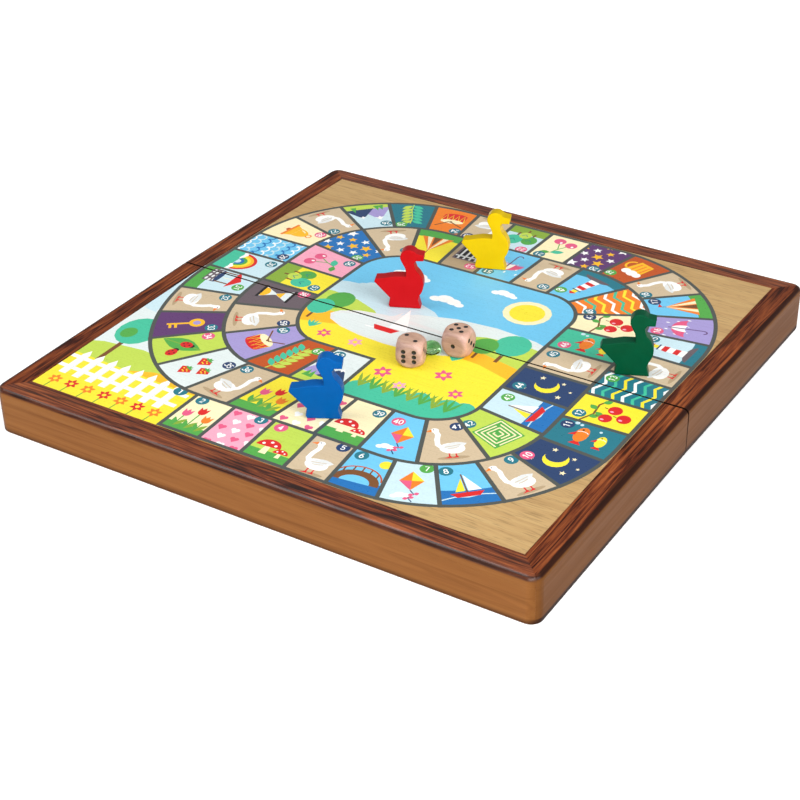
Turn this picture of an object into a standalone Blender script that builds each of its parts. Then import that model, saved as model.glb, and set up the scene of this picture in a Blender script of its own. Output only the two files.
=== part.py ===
# Folding wooden case with a game of the goose on its outer faces, lying open.
# Two shallow trays meet at a hinged seam, hollows down, and carry the playing pieces.
# The case stands on its hinge knuckles and on its two long rims, like a very low roof.
# X runs along the seam, Y from the front half to the rear half, Z up. Lengths are in millimetres.

import math

import bmesh
import bpy
from mathutils import Matrix, Vector

MM = 0.001

# Case
CASE_WIDTH = 350.0
HALF_DEPTH = 175.0
CASE_HEIGHT = 29.0
WALL_THICKNESS = 8.0
CORNER_RADIUS = 7.0
CORNER_STEPS = 6
RIM_EASE = 0.7
EASE_STEPS = 2
SEAM_HALF_GAP = 0.25
GLUE_GAP = 0.3
MITRE_GAP = 0.12

# Border rails and printed panel
RAIL_WIDTH = 15.5
RAIL_THICKNESS = 6.0
ROUND_OVER = 3.5
ROUND_OVER_STEPS = 5
PANEL_RECESS = 0.25
PANEL_GAP = 0.2
TONGUE_LENGTH = 3.0
TONGUE_THICKNESS = 2.0
TONGUE_STOP = 6.0

# Hinges, let flush into the rims
HINGE_SPREAD = 105.0
HINGE_LENGTH = 26.0
KNUCKLE_RADIUS = 2.0
KNUCKLE_SIDES = 24
CENTRE_KNUCKLE = 10.0
KNUCKLE_GAP = 0.35
RIM_ABOVE_AXIS = 0.2
LEAF_WIDTH = 7.2
LEAF_THICKNESS = 1.0
LEAF_RELIEF = 2.4
PIN_RADIUS = 0.9
PIN_BORE = 1.2
PIN_SIDES = 16
FIT_GAP = 0.3
NOTCH_CLEARANCE = 0.5
CUT_MARGIN = 1.0

# Hinge screws
SCREW_SPREAD = 8.5
SCREW_FROM_AXIS = 4.8
SCREW_HEAD_RADIUS = 1.7
SCREW_SHANK_RADIUS = 0.8
SCREW_LENGTH = 9.0
SCREW_SIDES = 16
SCREW_SINK = 0.1
HOLE_MOUTH = 0.5

# Playing pieces
GOOSE_HEIGHT = 39.2
GOOSE_THICKNESS = 7.5
GOOSE_EASE = 0.6
DIE_SIZE = 16.0
DIE_ROUND = 0.655
BALL_MERIDIANS = 32
BALL_RINGS = 18
PIP_RADIUS = 1.2
PIP_FLOOR_RADIUS = 0.8
PIP_DEPTH = 0.5
PIP_SIDES = 12
PIP_STEP = 3.1
COUNTER_RADIUS = 6.0
COUNTER_HEIGHT = 6.8
COUNTER_BELLY = 0.4
COUNTER_BASE_ANGLE = 50
COUNTER_BASE_STEPS = 3
COUNTER_DOME_STEPS = 6
COUNTER_SIDES = 24
REST_GAP = 0.3

# Where the pieces stand: half, spot on it in X and Y, and heading in degrees
GEESE = {
    "red": ("rear", (-21.9, 22.6), 24.0),
    "yellow": ("rear", (-3.0, 95.0), 20.0),
    "green": ("rear", (130.6, 20.5), 24.0),
    "blue": ("front", (5.1, -104.9), 27.0),
}
DICE = {
    "die_left": ((16.6, -32.7), (180, 0, 20.5)),
    "die_right": ((34.5, -9.4), (0, 0, 5)),
}
COUNTER_SPOT = (21.1, -17.6)

# Heights above the hinge axis
RIM_Z = RIM_ABOVE_AXIS
TOP_Z = RIM_Z + CASE_HEIGHT
RAIL_BOTTOM_Z = TOP_Z - RAIL_THICKNESS
PANEL_TOP_Z = TOP_Z - PANEL_RECESS
PIECE_Z = PANEL_TOP_Z + REST_GAP

# Each half leans until its outer rim is as low as the knuckles.
LEAN = math.asin((KNUCKLE_RADIUS + RIM_Z) / HALF_DEPTH)

HALF_WIDTH = CASE_WIDTH / 2
ROSEWOOD = (0.13, 0.035, 0.015)
HONEY = (0.36, 0.13, 0.035)
BIRCH = (0.58, 0.42, 0.21)
BRASS = (0.72, 0.48, 0.18)
STEEL = (0.55, 0.55, 0.53)
BEECH = (0.55, 0.34, 0.19)
GLASS = (0.05, 0.38, 0.12)
RED = (0.6, 0.012, 0.016)
YELLOW = (0.8, 0.56, 0.012)
BLUE = (0.002, 0.12, 0.43)
GREEN = (0.002, 0.1, 0.04)


def clear_scene():
    for old in list(bpy.data.objects):
        bpy.data.objects.remove(old, do_unlink=True)


def material(name, colour, roughness, metallic=0.0, transmission=0.0):
    made = bpy.data.materials.new(name)
    made.use_nodes = True
    shader = made.node_tree.nodes["Principled BSDF"]
    shader.inputs["Base Color"].default_value = (*colour, 1.0)
    shader.inputs["Roughness"].default_value = roughness
    shader.inputs["Metallic"].default_value = metallic
    shader.inputs["Transmission Weight"].default_value = transmission
    return made


def empty(name, location, rotation):
    made = bpy.data.objects.new(name, None)
    bpy.context.collection.objects.link(made)
    made.location = Vector(location) * MM
    made.rotation_euler = rotation
    return made


def place(name, bm, parent, look=None, location=(0, 0, 0), rotation=(0, 0, 0)):
    """Turn a millimetre bmesh into an object in metres under its parent."""
    bmesh.ops.scale(bm, vec=(MM, MM, MM), verts=bm.verts)
    bmesh.ops.recalc_face_normals(bm, faces=bm.faces)
    mesh = bpy.data.meshes.new(name)
    bm.to_mesh(mesh)
    bm.free()
    return link(name, mesh, parent, look, location, rotation)


def link(name, mesh, parent, look=None, location=(0, 0, 0), rotation=(0, 0, 0)):
    made = bpy.data.objects.new(name, mesh)
    bpy.context.collection.objects.link(made)
    made.parent = parent
    made.location = Vector(location) * MM
    made.rotation_euler = rotation
    if look and not mesh.materials:
        mesh.materials.append(look)
    return made


def smooth(thing, degrees=35):
    thing.data.shade_smooth()
    thing.data.set_sharp_from_angle(angle=math.radians(degrees))


def as_cutter(thing):
    thing.hide_render = True
    thing.display_type = "WIRE"
    return thing


def boolean(thing, other, operation="DIFFERENCE"):
    step = thing.modifiers.new(operation.lower(), "BOOLEAN")
    step.operation = operation
    step.solver = "EXACT"
    step.object = other


def ease_marked_edges(thing, width, steps):
    step = thing.modifiers.new("eased_edges", "BEVEL")
    step.limit_method = "WEIGHT"
    step.width = width * MM
    step.segments = steps
    step.use_clamp_overlap = False


def arc(centre, radius, start, end, steps):
    """Points along an arc, angles in degrees."""
    points = []
    for index in range(steps + 1):
        angle = math.radians(start + (end - start) * index / steps)
        points.append((centre[0] + radius * math.cos(angle), centre[1] + radius * math.sin(angle)))
    return points


def prism(outline, bottom, top, eased_top=0, eased_bottom=0):
    """Extrude a plan outline upward; the first points of it may get marked edges."""
    bm = bmesh.new()
    weight = bm.edges.layers.float.new("bevel_weight_edge")
    floor = bm.faces.new([bm.verts.new((x, y, bottom)) for x, y in outline])
    raised = bmesh.ops.extrude_face_region(bm, geom=[floor])["geom"]
    lifted = [item for item in raised if isinstance(item, bmesh.types.BMVert)]
    bmesh.ops.translate(bm, vec=(0, 0, top - bottom), verts=lifted)
    for level, count in ((top, eased_top), (bottom, eased_bottom)):
        marked = [Vector((x, y, level)) for x, y in outline[:count]]
        for edge in bm.edges:
            ends = [any((v.co - point).length < 1e-6 for point in marked) for v in edge.verts]
            if all(ends):
                edge[weight] = 1.0
    return bm


def box(low, high):
    outline = [(low[0], low[1]), (high[0], low[1]), (high[0], high[1]), (low[0], high[1])]
    return prism(outline, low[2], high[2])


def along_x(profile, start, end):
    """Extrude a profile given in Y and Z along X."""
    bm = prism(profile, start, end)
    turn = Matrix(((0, 0, 1), (1, 0, 0), (0, 1, 0))).to_4x4()
    bmesh.ops.transform(bm, matrix=turn, verts=bm.verts)
    return bm


def turned(profile, steps):
    """Revolve a closed-ended profile of radius and height about Z."""
    bm = bmesh.new()
    points = [bm.verts.new((radius, 0, height)) for radius, height in profile]
    edges = [bm.edges.new(pair) for pair in zip(points, points[1:])]
    bmesh.ops.spin(bm, geom=points + edges, axis=(0, 0, 1), angle=math.tau, steps=steps, use_merge=True)
    bmesh.ops.remove_doubles(bm, verts=bm.verts, dist=1e-5)
    return bm


def long_outline(width, side):
    """Plan of the piece along a half's outer edge, mitred at both ends, outer points first."""
    off = math.degrees(math.asin(MITRE_GAP / (math.sqrt(2) * CORNER_RADIUS)))
    centre = (HALF_WIDTH - CORNER_RADIUS, CORNER_RADIUS - HALF_DEPTH)
    right = arc(centre, CORNER_RADIUS, -90, -45 - off, CORNER_STEPS)
    outer = [(-x, y) for x, y in reversed(right)] + right
    inner_x = HALF_WIDTH - width - MITRE_GAP
    inner_y = width - HALF_DEPTH
    outline = outer + [(inner_x, inner_y), (-inner_x, inner_y)]
    return [(x, -side * y) for x, y in outline], len(outer)


def end_outline(width, side, hand):
    """Plan of the piece along a half's left or right edge, from its mitre to the seam."""
    off = math.degrees(math.asin(MITRE_GAP / (math.sqrt(2) * CORNER_RADIUS)))
    centre = (HALF_WIDTH - CORNER_RADIUS, CORNER_RADIUS - HALF_DEPTH)
    outer = arc(centre, CORNER_RADIUS, -45 + off, 0, CORNER_STEPS) + [(HALF_WIDTH, -SEAM_HALF_GAP)]
    inner_x = HALF_WIDTH - width
    inner = [(inner_x, -SEAM_HALF_GAP), (inner_x, width - HALF_DEPTH + MITRE_GAP)]
    return [(hand * x, -side * y) for x, y in outer + inner], len(outer)


def span_y(side, near, far):
    """Order two distances from the seam as low and high Y for a half."""
    return sorted((side * near, side * far))


def build_case_half(name, side, parent, looks):
    # Walls, mitred at the outer corners, with the lower outer edge eased
    outlines = {"outer": long_outline(WALL_THICKNESS, side)}
    rail_outlines = {"outer": long_outline(RAIL_WIDTH, side)}
    for hand_name, hand in (("left", -1), ("right", 1)):
        outlines[hand_name] = end_outline(WALL_THICKNESS, side, hand)
        rail_outlines[hand_name] = end_outline(RAIL_WIDTH, side, hand)
    for place_name, (outline, count) in outlines.items():
        bm = prism(outline, RIM_Z, RAIL_BOTTOM_Z - GLUE_GAP, eased_bottom=count)
        wall = place(f"{name}_{place_name}_wall", bm, parent, looks["wall"])
        ease_marked_edges(wall, RIM_EASE, EASE_STEPS)
        smooth(wall)

    # Printed panel with a tongue on three sides
    panel_x = HALF_WIDTH - RAIL_WIDTH - PANEL_GAP
    panel_y = span_y(side, SEAM_HALF_GAP, HALF_DEPTH - RAIL_WIDTH - PANEL_GAP)
    low = (-panel_x, panel_y[0], RAIL_BOTTOM_Z)
    high = (panel_x, panel_y[1], PANEL_TOP_Z)
    panel = place(f"{name}_panel", box(low, high), parent, looks["panel"])
    middle_z = (RAIL_BOTTOM_Z + TOP_Z) / 2
    reach = (panel_x + TONGUE_LENGTH, HALF_DEPTH - RAIL_WIDTH - PANEL_GAP + TONGUE_LENGTH)
    for grow, target in ((0.0, "tongue"), (GLUE_GAP, "groove")):
        half_thick = TONGUE_THICKNESS / 2 + grow
        across = span_y(side, TONGUE_STOP - grow, reach[1] + grow)
        low = (-reach[0] - grow, across[0], middle_z - half_thick)
        high = (reach[0] + grow, across[1], middle_z + half_thick)
        as_cutter(place(f"{name}_{target}", box(low, high), parent))
    boolean(panel, bpy.data.objects[f"{name}_tongue"], "UNION")

    # Border rails, mitred, rounded over on the outside and grooved on the inside
    for place_name, (outline, count) in rail_outlines.items():
        bm = prism(outline, RAIL_BOTTOM_Z, TOP_Z, eased_top=count)
        rail = place(f"{name}_{place_name}_rail", bm, parent, looks["rail"])
        ease_marked_edges(rail, ROUND_OVER, ROUND_OVER_STEPS)
        boolean(rail, bpy.data.objects[f"{name}_groove"])
        smooth(rail)

    # Wall along the seam, under the panel
    wall_x = HALF_WIDTH - WALL_THICKNESS - GLUE_GAP
    wall_y = span_y(side, SEAM_HALF_GAP, SEAM_HALF_GAP + WALL_THICKNESS)
    low = (-wall_x, wall_y[0], RIM_Z)
    high = (wall_x, wall_y[1], RAIL_BOTTOM_Z - GLUE_GAP)
    return place(f"{name}_hinge_wall", box(low, high), parent, looks["wall"])


def leaf_profile(side):
    """Leaf plate running into the round of the knuckle, in Y and Z."""
    lower = math.degrees(math.asin(RIM_Z / KNUCKLE_RADIUS))
    upper = math.degrees(math.asin((RIM_Z + LEAF_THICKNESS) / KNUCKLE_RADIUS))
    points = arc((0, 0), KNUCKLE_RADIUS, upper, 360 + lower, KNUCKLE_SIDES)
    points += [(LEAF_WIDTH, RIM_Z), (LEAF_WIDTH, RIM_Z + LEAF_THICKNESS)]
    return [(side * y, z) for y, z in points]


def recess_profile(side):
    """Mortise for the leaf plate and the deeper notch for the knuckles."""
    notch = KNUCKLE_RADIUS + NOTCH_CLEARANCE
    plate = RIM_Z + LEAF_THICKNESS + FIT_GAP
    far = LEAF_WIDTH + FIT_GAP
    near = -CUT_MARGIN
    below = RIM_Z - CUT_MARGIN
    points = [(near, below), (far, below), (far, plate), (notch, plate), (notch, notch), (near, notch)]
    return [(side * y, z) for y, z in points]


def screw_profile(grow):
    """Countersunk head and plain shank; growing it makes the hole."""
    head = SCREW_HEAD_RADIUS + grow
    shank = SCREW_SHANK_RADIUS + grow
    tip = SCREW_LENGTH + grow
    sink = SCREW_SINK
    cone = sink + SCREW_HEAD_RADIUS - SCREW_SHANK_RADIUS
    if grow:
        head += sink + HOLE_MOUTH
        sink = -HOLE_MOUTH
    return [(0, tip), (shank, tip - shank), (shank, cone), (head, sink), (0, sink)]


def build_hinge(name, middle, halves, hinge_walls, looks):
    start = middle - HINGE_LENGTH / 2
    end = middle + HINGE_LENGTH / 2
    inner = CENTRE_KNUCKLE / 2
    sideways = (0, math.radians(90), 0)
    through = HINGE_LENGTH / 2 + CUT_MARGIN
    bore = turned([(0, -through), (PIN_BORE, -through), (PIN_BORE, through), (0, through)], PIN_SIDES)
    bore = as_cutter(place(f"{name}_bore", bore, halves["front"], None, (middle, 0, 0), sideways))

    # Front leaf keeps the two outer knuckles, rear leaf the middle one
    gaps = {
        "front": [(middle - inner - KNUCKLE_GAP, middle + inner + KNUCKLE_GAP)],
        "rear": [(start - CUT_MARGIN, middle - inner), (middle + inner, end + CUT_MARGIN)],
    }
    for half, side in (("front", -1), ("rear", 1)):
        leaf = along_x(leaf_profile(side), start, end)
        leaf = place(f"{name}_leaf_{half}", leaf, halves[half], looks["brass"])
        reach = KNUCKLE_RADIUS + CUT_MARGIN
        y = span_y(side, -reach, LEAF_RELIEF)
        for index, (low_x, high_x) in enumerate(gaps[half]):
            cutter = box((low_x, y[0], -reach), (high_x, y[1], reach))
            boolean(leaf, as_cutter(place(f"{name}_gap_{half}_{index}", cutter, halves[half])))
        boolean(leaf, bore)

        recess = along_x(recess_profile(side), start - FIT_GAP, end + FIT_GAP)
        recess = as_cutter(place(f"{name}_recess_{half}", recess, halves[half]))
        boolean(hinge_walls[half], recess)

        for index, offset in enumerate((-SCREW_SPREAD, SCREW_SPREAD)):
            spot = (middle + offset, side * SCREW_FROM_AXIS, RIM_Z)
            screw = turned(screw_profile(0.0), SCREW_SIDES)
            screw_name = f"{name}_screw_{half}_{index + 1}"
            screw = place(screw_name, screw, halves[half], looks["brass_screw"], spot)
            smooth(screw)
            hole = turned(screw_profile(FIT_GAP), SCREW_SIDES)
            hole = as_cutter(place(f"{name}_hole_{half}_{index + 1}", hole, halves[half], None, spot))
            boolean(leaf, hole)
            boolean(hinge_walls[half], hole)
        smooth(leaf)

    ease = PIN_RADIUS / 3
    tip = HINGE_LENGTH / 2
    profile = [(0, -tip), (PIN_RADIUS - ease, -tip), (PIN_RADIUS, ease - tip)]
    profile += [(radius, -height) for radius, height in reversed(profile)]
    pin = turned(profile, PIN_SIDES)
    pin = place(f"{name}_pin", pin, halves["front"], looks["steel"], (middle, 0, 0), sideways)
    smooth(pin)


def goose_outline():
    """Standing goose seen from its right side: foot, chest, bill, head, back and tail."""
    foot = [(-9.2, 0.0), (9.2, 0.0), (7.8, 5.6)]
    chest = arc((-0.9, 15.6), 11.8, -36, 50, 9)
    throat = [(5.7, 27.3), (5.4, 29.3), (6.5, 31.0)]
    bill = [(10.8, 31.2), (11.2, 35.1), (8.0, 35.7)]
    head = arc((2.5, 32.8), 5.4, 38, 190, 9)
    nape = [(-1.6, 29.2), (0.1, 26.0), (0.6, 23.4), (0.4, 20.8)]
    back = [(-6.0, 20.6), (-13.5, 18.9), (-17.4, 18.5)]
    tail = [(-18.4, 16.2), (-9.0, 6.1), (-9.9, 1.4)]
    outline = foot + chest + throat + bill + head + nape + back + tail
    scale = GOOSE_HEIGHT / max(height for _, height in outline)
    return [(along * scale, height * scale) for along, height in outline]


def build_goose(name, parent, spot, heading, look):
    outline = goose_outline()
    half = GOOSE_THICKNESS / 2
    bm = prism(outline, -half, half, eased_top=len(outline), eased_bottom=len(outline))
    upright = Matrix.Rotation(math.radians(90), 4, "X")
    bmesh.ops.transform(bm, matrix=upright, verts=bm.verts)
    turn = (0, 0, math.radians(heading))
    goose = place(name, bm, parent, look, (*spot, PIECE_Z), turn)
    ease_marked_edges(goose, GOOSE_EASE, EASE_STEPS)
    smooth(goose, 30)


def die_faces():
    """Pip positions of each face with the axes that span it; opposite faces add up to seven."""
    s = PIP_STEP
    corners = [(-s, -s), (-s, s), (s, -s), (s, s)]
    x_axis = Vector((1, 0, 0))
    y_axis = Vector((0, 1, 0))
    z_axis = Vector((0, 0, 1))
    return [
        (-y_axis, x_axis, z_axis, [(0, 0)]),
        (-z_axis, x_axis, y_axis, [(-s, -s), (s, s)]),
        (x_axis, y_axis, z_axis, [(-s, s), (0, 0), (s, -s)]),
        (-x_axis, y_axis, z_axis, corners),
        (z_axis, x_axis, y_axis, corners + [(0, 0)]),
        (y_axis, x_axis, z_axis, corners + [(-s, 0), (s, 0)]),
    ]


def build_dice(parent, look):
    """Two dice, each a cube rounded by a sphere, with drilled pips."""
    half = DIE_SIZE / 2
    ball = bmesh.new()
    bmesh.ops.create_uvsphere(
        ball, u_segments=BALL_MERIDIANS, v_segments=BALL_RINGS, radius=DIE_SIZE * DIE_ROUND
    )
    drill = bmesh.new()
    height = 2 * PIP_DEPTH
    wide = 2 * PIP_RADIUS - PIP_FLOOR_RADIUS
    for normal, across, up, pips in die_faces():
        for u, v in pips:
            stand = normal.to_track_quat("Z", "Y").to_matrix().to_4x4()
            stand.translation = normal * half + across * u + up * v
            bmesh.ops.create_cone(
                drill, cap_ends=True, segments=PIP_SIDES, radius1=PIP_FLOOR_RADIUS, radius2=wide,
                depth=height, matrix=stand,
            )
    for name, (spot, degrees) in DICE.items():
        spot = (*spot, PIECE_Z + half)
        turn = [math.radians(angle) for angle in degrees]
        die = place(name, box((-half, -half, -half), (half, half, half)), parent, look, spot, turn)
        rounder = as_cutter(place(f"{name}_ball", ball.copy(), parent, None, spot, turn))
        pips = as_cutter(place(f"{name}_drill", drill.copy(), parent, None, spot, turn))
        boolean(die, rounder, "INTERSECT")
        boolean(die, pips)
        smooth(die)
    ball.free()
    drill.free()


def counter_profile():
    """Flattened glass drop: flat base, full belly and a low dome."""
    belly = COUNTER_HEIGHT * COUNTER_BELLY
    depth = math.sin(math.radians(COUNTER_BASE_ANGLE))
    profile = [(0, 0)]
    for radius, sine in arc((0, 0), 1.0, -COUNTER_BASE_ANGLE, 0, COUNTER_BASE_STEPS):
        profile.append((COUNTER_RADIUS * radius, belly + belly * sine / depth))
    for radius, sine in arc((0, 0), 1.0, 0, 90, COUNTER_DOME_STEPS)[1:-1]:
        profile.append((COUNTER_RADIUS * radius, belly + (COUNTER_HEIGHT - belly) * sine))
    return profile + [(0, COUNTER_HEIGHT)]


def build():
    clear_scene()
    looks = {
        "wall": material("honey_stained_wood", HONEY, 0.4),
        "rail": material("lacquered_rosewood", ROSEWOOD, 0.22),
        "panel": material("birch_panel", BIRCH, 0.35),
        "brass": material("hinge_brass", BRASS, 0.3, 1.0),
        "brass_screw": material("screw_brass", BRASS, 0.35, 1.0),
        "steel": material("pin_steel", STEEL, 0.3, 1.0),
        "beech": material("beech_wood", BEECH, 0.45),
        "glass": material("green_glass", GLASS, 0.05, 0.0, 0.9),
        "red": material("red_paint", RED, 0.25),
        "yellow": material("yellow_paint", YELLOW, 0.25),
        "blue": material("blue_paint", BLUE, 0.25),
        "green": material("green_paint", GREEN, 0.25),
    }
    axis = (0, 0, KNUCKLE_RADIUS)
    halves = {
        "front": empty("front_half", axis, (LEAN, 0, 0)),
        "rear": empty("rear_half", axis, (-LEAN, 0, 0)),
    }
    hinge_walls = {}
    for half, side in (("front", -1), ("rear", 1)):
        hinge_walls[half] = build_case_half(half, side, halves[half], looks)
    for name, middle in (("hinge_left", -HINGE_SPREAD), ("hinge_right", HINGE_SPREAD)):
        build_hinge(name, middle, halves, hinge_walls, looks)

    for colour, (half, spot, heading) in GEESE.items():
        build_goose(f"goose_{colour}", halves[half], spot, heading, looks[colour])
    build_dice(halves["front"], looks["beech"])
    counter = turned(counter_profile(), COUNTER_SIDES)
    counter = place("glass_counter", counter, halves["front"], looks["glass"], (*COUNTER_SPOT, PIECE_Z))
    smooth(counter, 60)


build()
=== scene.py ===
import math

import bmesh
import bpy
from mathutils import Matrix, Vector
from mathutils.geometry import delaunay_2d_cdt


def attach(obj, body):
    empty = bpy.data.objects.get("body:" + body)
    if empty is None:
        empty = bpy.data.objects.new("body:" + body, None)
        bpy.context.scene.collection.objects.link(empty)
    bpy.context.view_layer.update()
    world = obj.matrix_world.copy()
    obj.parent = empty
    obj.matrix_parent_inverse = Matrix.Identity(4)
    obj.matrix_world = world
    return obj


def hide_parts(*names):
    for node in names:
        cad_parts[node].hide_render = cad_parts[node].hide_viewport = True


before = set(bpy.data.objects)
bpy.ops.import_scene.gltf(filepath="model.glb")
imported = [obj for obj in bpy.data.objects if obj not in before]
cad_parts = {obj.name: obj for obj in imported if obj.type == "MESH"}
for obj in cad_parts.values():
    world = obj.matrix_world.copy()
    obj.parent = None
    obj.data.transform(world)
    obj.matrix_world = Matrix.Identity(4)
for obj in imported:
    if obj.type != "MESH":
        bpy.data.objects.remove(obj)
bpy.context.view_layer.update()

# Game of the goose board: finishes for the solids of the folding case, its print, glue lines, dice and glass
# counter, and a plain studio. Lengths are in millimetres unless a name or a comment says otherwise.
MM = 0.001

# Case, measured in the level frame of each half, from the hinge axis up
HALF_WIDTH = 175.0
RIM = 0.2
WALL_TOP = 22.9
RAIL_FOOT = 23.2
PANEL_TOP = 28.95
RAIL_TOP = 29.2
CORNER_RADIUS = 7.0
ROUND_OVER = 3.5
RAIL_WIDTH = 15.5
WALL_THICKNESS = 8.0
SEAM_HALF_GAP = 0.25

# The halves lean from the hinge axis down to their outer rims, like a very low roof
AXIS_HEIGHT = 2.0
KNUCKLE_DROP = 2.2
LEAN = math.asin(KNUCKLE_DROP / HALF_WIDTH)
LEANS = {"front": LEAN, "rear": -LEAN}
HALF_FRAMES = {
    half: Matrix.Scale(MM, 4) @ (Matrix.Translation((0, 0, AXIS_HEIGHT)) @ Matrix.Rotation(lean, 4, "X"))
    for half, lean in LEANS.items()
}

# Painted light and shade, as factors: shade on the left and right faces of the walls, and light and shade on
# the faces of the dice that look along X and Y
SIDE_FACE_PAINTED_SHADE = (0.47, 0.425, 0.305)
DIE_FACE_PAINTED_LIGHT_AND_SHADE = {"X": (1.18, 1.12, 1.2), "Y": (0.87, 0.88, 1.0)}

# Stains by height, on the front and rear faces and then on the left and right faces: where each starts,
# where it is full, and how strong it gets; the walls' dark lower edge is stain with painted shadow along the
# floor
DARK_EDGE = ((28.85, 28.7, 0.72), (29.2, 29.05, 0.96))
HONEY_FOOT = ((27.2, 26.2, 1.0), (27.9, 27.0, 1.0))
LOWER_STAIN_AND_SHADOW = ((3.8, 1.6, 0.55), (3.8, 2.9, 0.97))
EDGE_COLOUR = (36, 15, 8)
LOWER_STAIN_AND_SHADOW_COLOUR = (30, 14, 9)

# Lacquer by height on the rails along X and along Y: where it starts, where it is full,
# and how strong it gets
LACQUER = {"x": (26.4, 27.4, 0.75), "y": (27.4, 28.2, 0.2)}
LACQUER_ROUGHNESS = 0.26

# Painted shadow in the seam: the faces that meet at the seam darken from one depth to another
SEAM_SHADE = (0.05, 0.25)
SEAM_SHADOW_STRENGTH = 0.95
SEAM_SHADOW_COLOUR = (22, 12, 8)

# Sizes of a normal's part along an axis, between which a face goes from turned away to facing along it
FACING = (0.1, 0.95)

# Pawns: paint, its darker pools, and a factor of painted shade for the upper faces
PAWN_PAINTS_AND_TOP_SHADE = {
    "red": ((187, 17, 25), (182, 13, 21), (0.72, 1.6, 1.2)),
    "yellow": ((226, 187, 6), (222, 182, 3), (0.7, 0.74, 1.3)),
    "green": ((0, 75, 47), (0, 70, 43), (1.0, 0.95, 1.0)),
    "blue": ((0, 86, 158), (0, 82, 151), (1.0, 1.0, 1.0)),
}

# Edges flatter than this, in degrees, are shaded smooth once points this near, in metres, are joined
SMOOTH_ANGLE = 32
SOLID_WELD = 1e-6

# Printed sheet
SHEET_REACH = 159.3
SHEET_LIFT = 0.02
SHEET_THICKNESS = 0.2
BARE_VENEER = (206, 174, 120)
INK_WELD = 1e-5
INSIDE_FACES = 1

# Glue in the joints
GLUE_INSET = 0.02
GLUE_BED_WIDTH = 3.0
GLUE_SHEET = 0.14
GLUE_FOOT = 1.0
ROUND_STEPS = 12

# Track: half width, half depth, corner radius and starting X of each turn, from the outside in
RINGS = (
    (157.9, 157.9, 103.0, -68.6),
    (117.5, 122.7, 66.6, -68.6),
    (74.7, 81.3, 28.3, -56.5),
    (34.3, 40.9, 0.0, -44.4),
)
STRETCHES = 8
TRACK_END = 2 * STRETCHES + 0.51
TRACK_SAMPLES = 1600
SPACE_STEPS = 6
FIRST_SPACE = 2
LAST_SPACE = 62
LINE_HALF_WIDTH = 1.25
GOOSE_SPACES = (5, 9, 14, 18, 23, 27, 32, 36, 41, 45, 50, 54, 59)

# Pictures and number discs: size of their units, and their places in the lane or in those units
PICTURE_UNIT = 12.1
PICTURE_DEPTH = 0.47
BADGE_UNIT = 10.9
BADGE_DEPTH = 0.5
BADGE_SIDE = 0.62
BADGE_RISE = 1.24
BADGE_RADIUS = 0.37
BADGE_NUMBER = 0.36
START_CORNER = (-112, -92)
DISCS = ("teal", "teal", "rose", "navy", "teal", "green")

# Digits, as shares of their height
DIGIT_PITCH = 0.72
DIGIT_STROKE = 0.17

# Playing pieces, as they stand on the front half
PIECE_REST = 29.25
DIE_SIZE = 16.0
DIE_BALL = 10.48
DIE_SOFTNESS = 5.0
DIE_GRID = 22
DIE_WELD = 1e-4
PIP_STEP = 3.1
PIP_RADIUS = 1.4
PIP_DEPTH = 0.5
PIP_SEGMENTS = 20
PIP_RINGS = 12
DICE = {
    "die_left": ((16.6, -32.7), (180, 0, 20.5)),
    "die_right": ((34.5, -9.4), (0, 0, 5)),
}
COUNTER_SPOT = (21.1, -17.6)
COUNTER_RADIUS = 6.0
COUNTER_HEIGHT = 6.8
COUNTER_BELLY = 2.7
COUNTER_FLATTENING = 1.15
COUNTER_FULLNESS = 0.8
COUNTER_DENTS = ((0.02, 2, 0.6), (0.01, 3, 0.0))
COUNTER_RINGS = 20
COUNTER_SEGMENTS = 48

# Studio, in metres and watts: a light table, and lights with their place, size and power, aimed at the board
FLOOR_SIZE = 6.0
FLOOR_GLOW = 0.25
LIGHTS = {
    "front_light": ((0.78, -1.79, 1.01), 1.6, 22),
    "right_light": ((1.9, -0.45, 1.0), 1.4, 38),
    "left_light": ((-0.79, -0.56, 1.52), 1.1, 11),
    "spark_light": ((1.09, -0.95, 1.38), 0.12, 4),
}

# Greys of the sky, from the horizon at 0 to overhead at 1
DOME = [(0.0, 0.9), (0.1, 0.25), (0.55, 0.3), (0.95, 0.6)]

# Camera, at the photograph's angle, in degrees and metres; lens and sensor in millimetres
VIEW_AZIMUTH = 32.366
VIEW_ELEVATION = 31.692
VIEW_ROLL = -0.823
VIEW_DISTANCE = 0.9924
VIEW_TARGET = (0.0236, -0.0570, 0.0200)
LENS = 78.73
SENSOR = 36.0
CLIP_START = 0.01

# Printing inks, sRGB 0 to 255
INK = {
    "line": (80, 84, 80),
    "beige": (205, 184, 152),
    "beige_dark": (178, 155, 122),
    "white": (250, 250, 246),
    "pearl": (226, 228, 226),
    "sky": (112, 196, 234),
    "pale": (200, 226, 234),
    "mist": (222, 232, 230),
    "cream": (250, 236, 190),
    "yellow": (244, 226, 56),
    "gold": (246, 186, 40),
    "orange": (238, 128, 40),
    "rust": (190, 84, 34),
    "red": (214, 40, 40),
    "pink": (244, 168, 190),
    "rose": (226, 92, 132),
    "lilac": (164, 152, 206),
    "plum": (96, 60, 110),
    "navy": (44, 66, 106),
    "blue": (36, 112, 180),
    "teal": (40, 118, 134),
    "jade": (70, 190, 154),
    "green": (84, 166, 74),
    "lime": (190, 214, 84),
    "moss": (136, 170, 60),
    "brown": (122, 78, 44),
    "dusk": (104, 92, 98),
    "black": (34, 32, 34),
}


def linear(colour):
    """An sRGB colour of 0 to 255 as linear values with alpha."""
    parts = [value / 255.0 for value in colour]
    parts = [p / 12.92 if p <= 0.04045 else ((p + 0.055) / 1.055) ** 2.4 for p in parts]
    return (*parts, 1.0)


# Node materials

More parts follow.
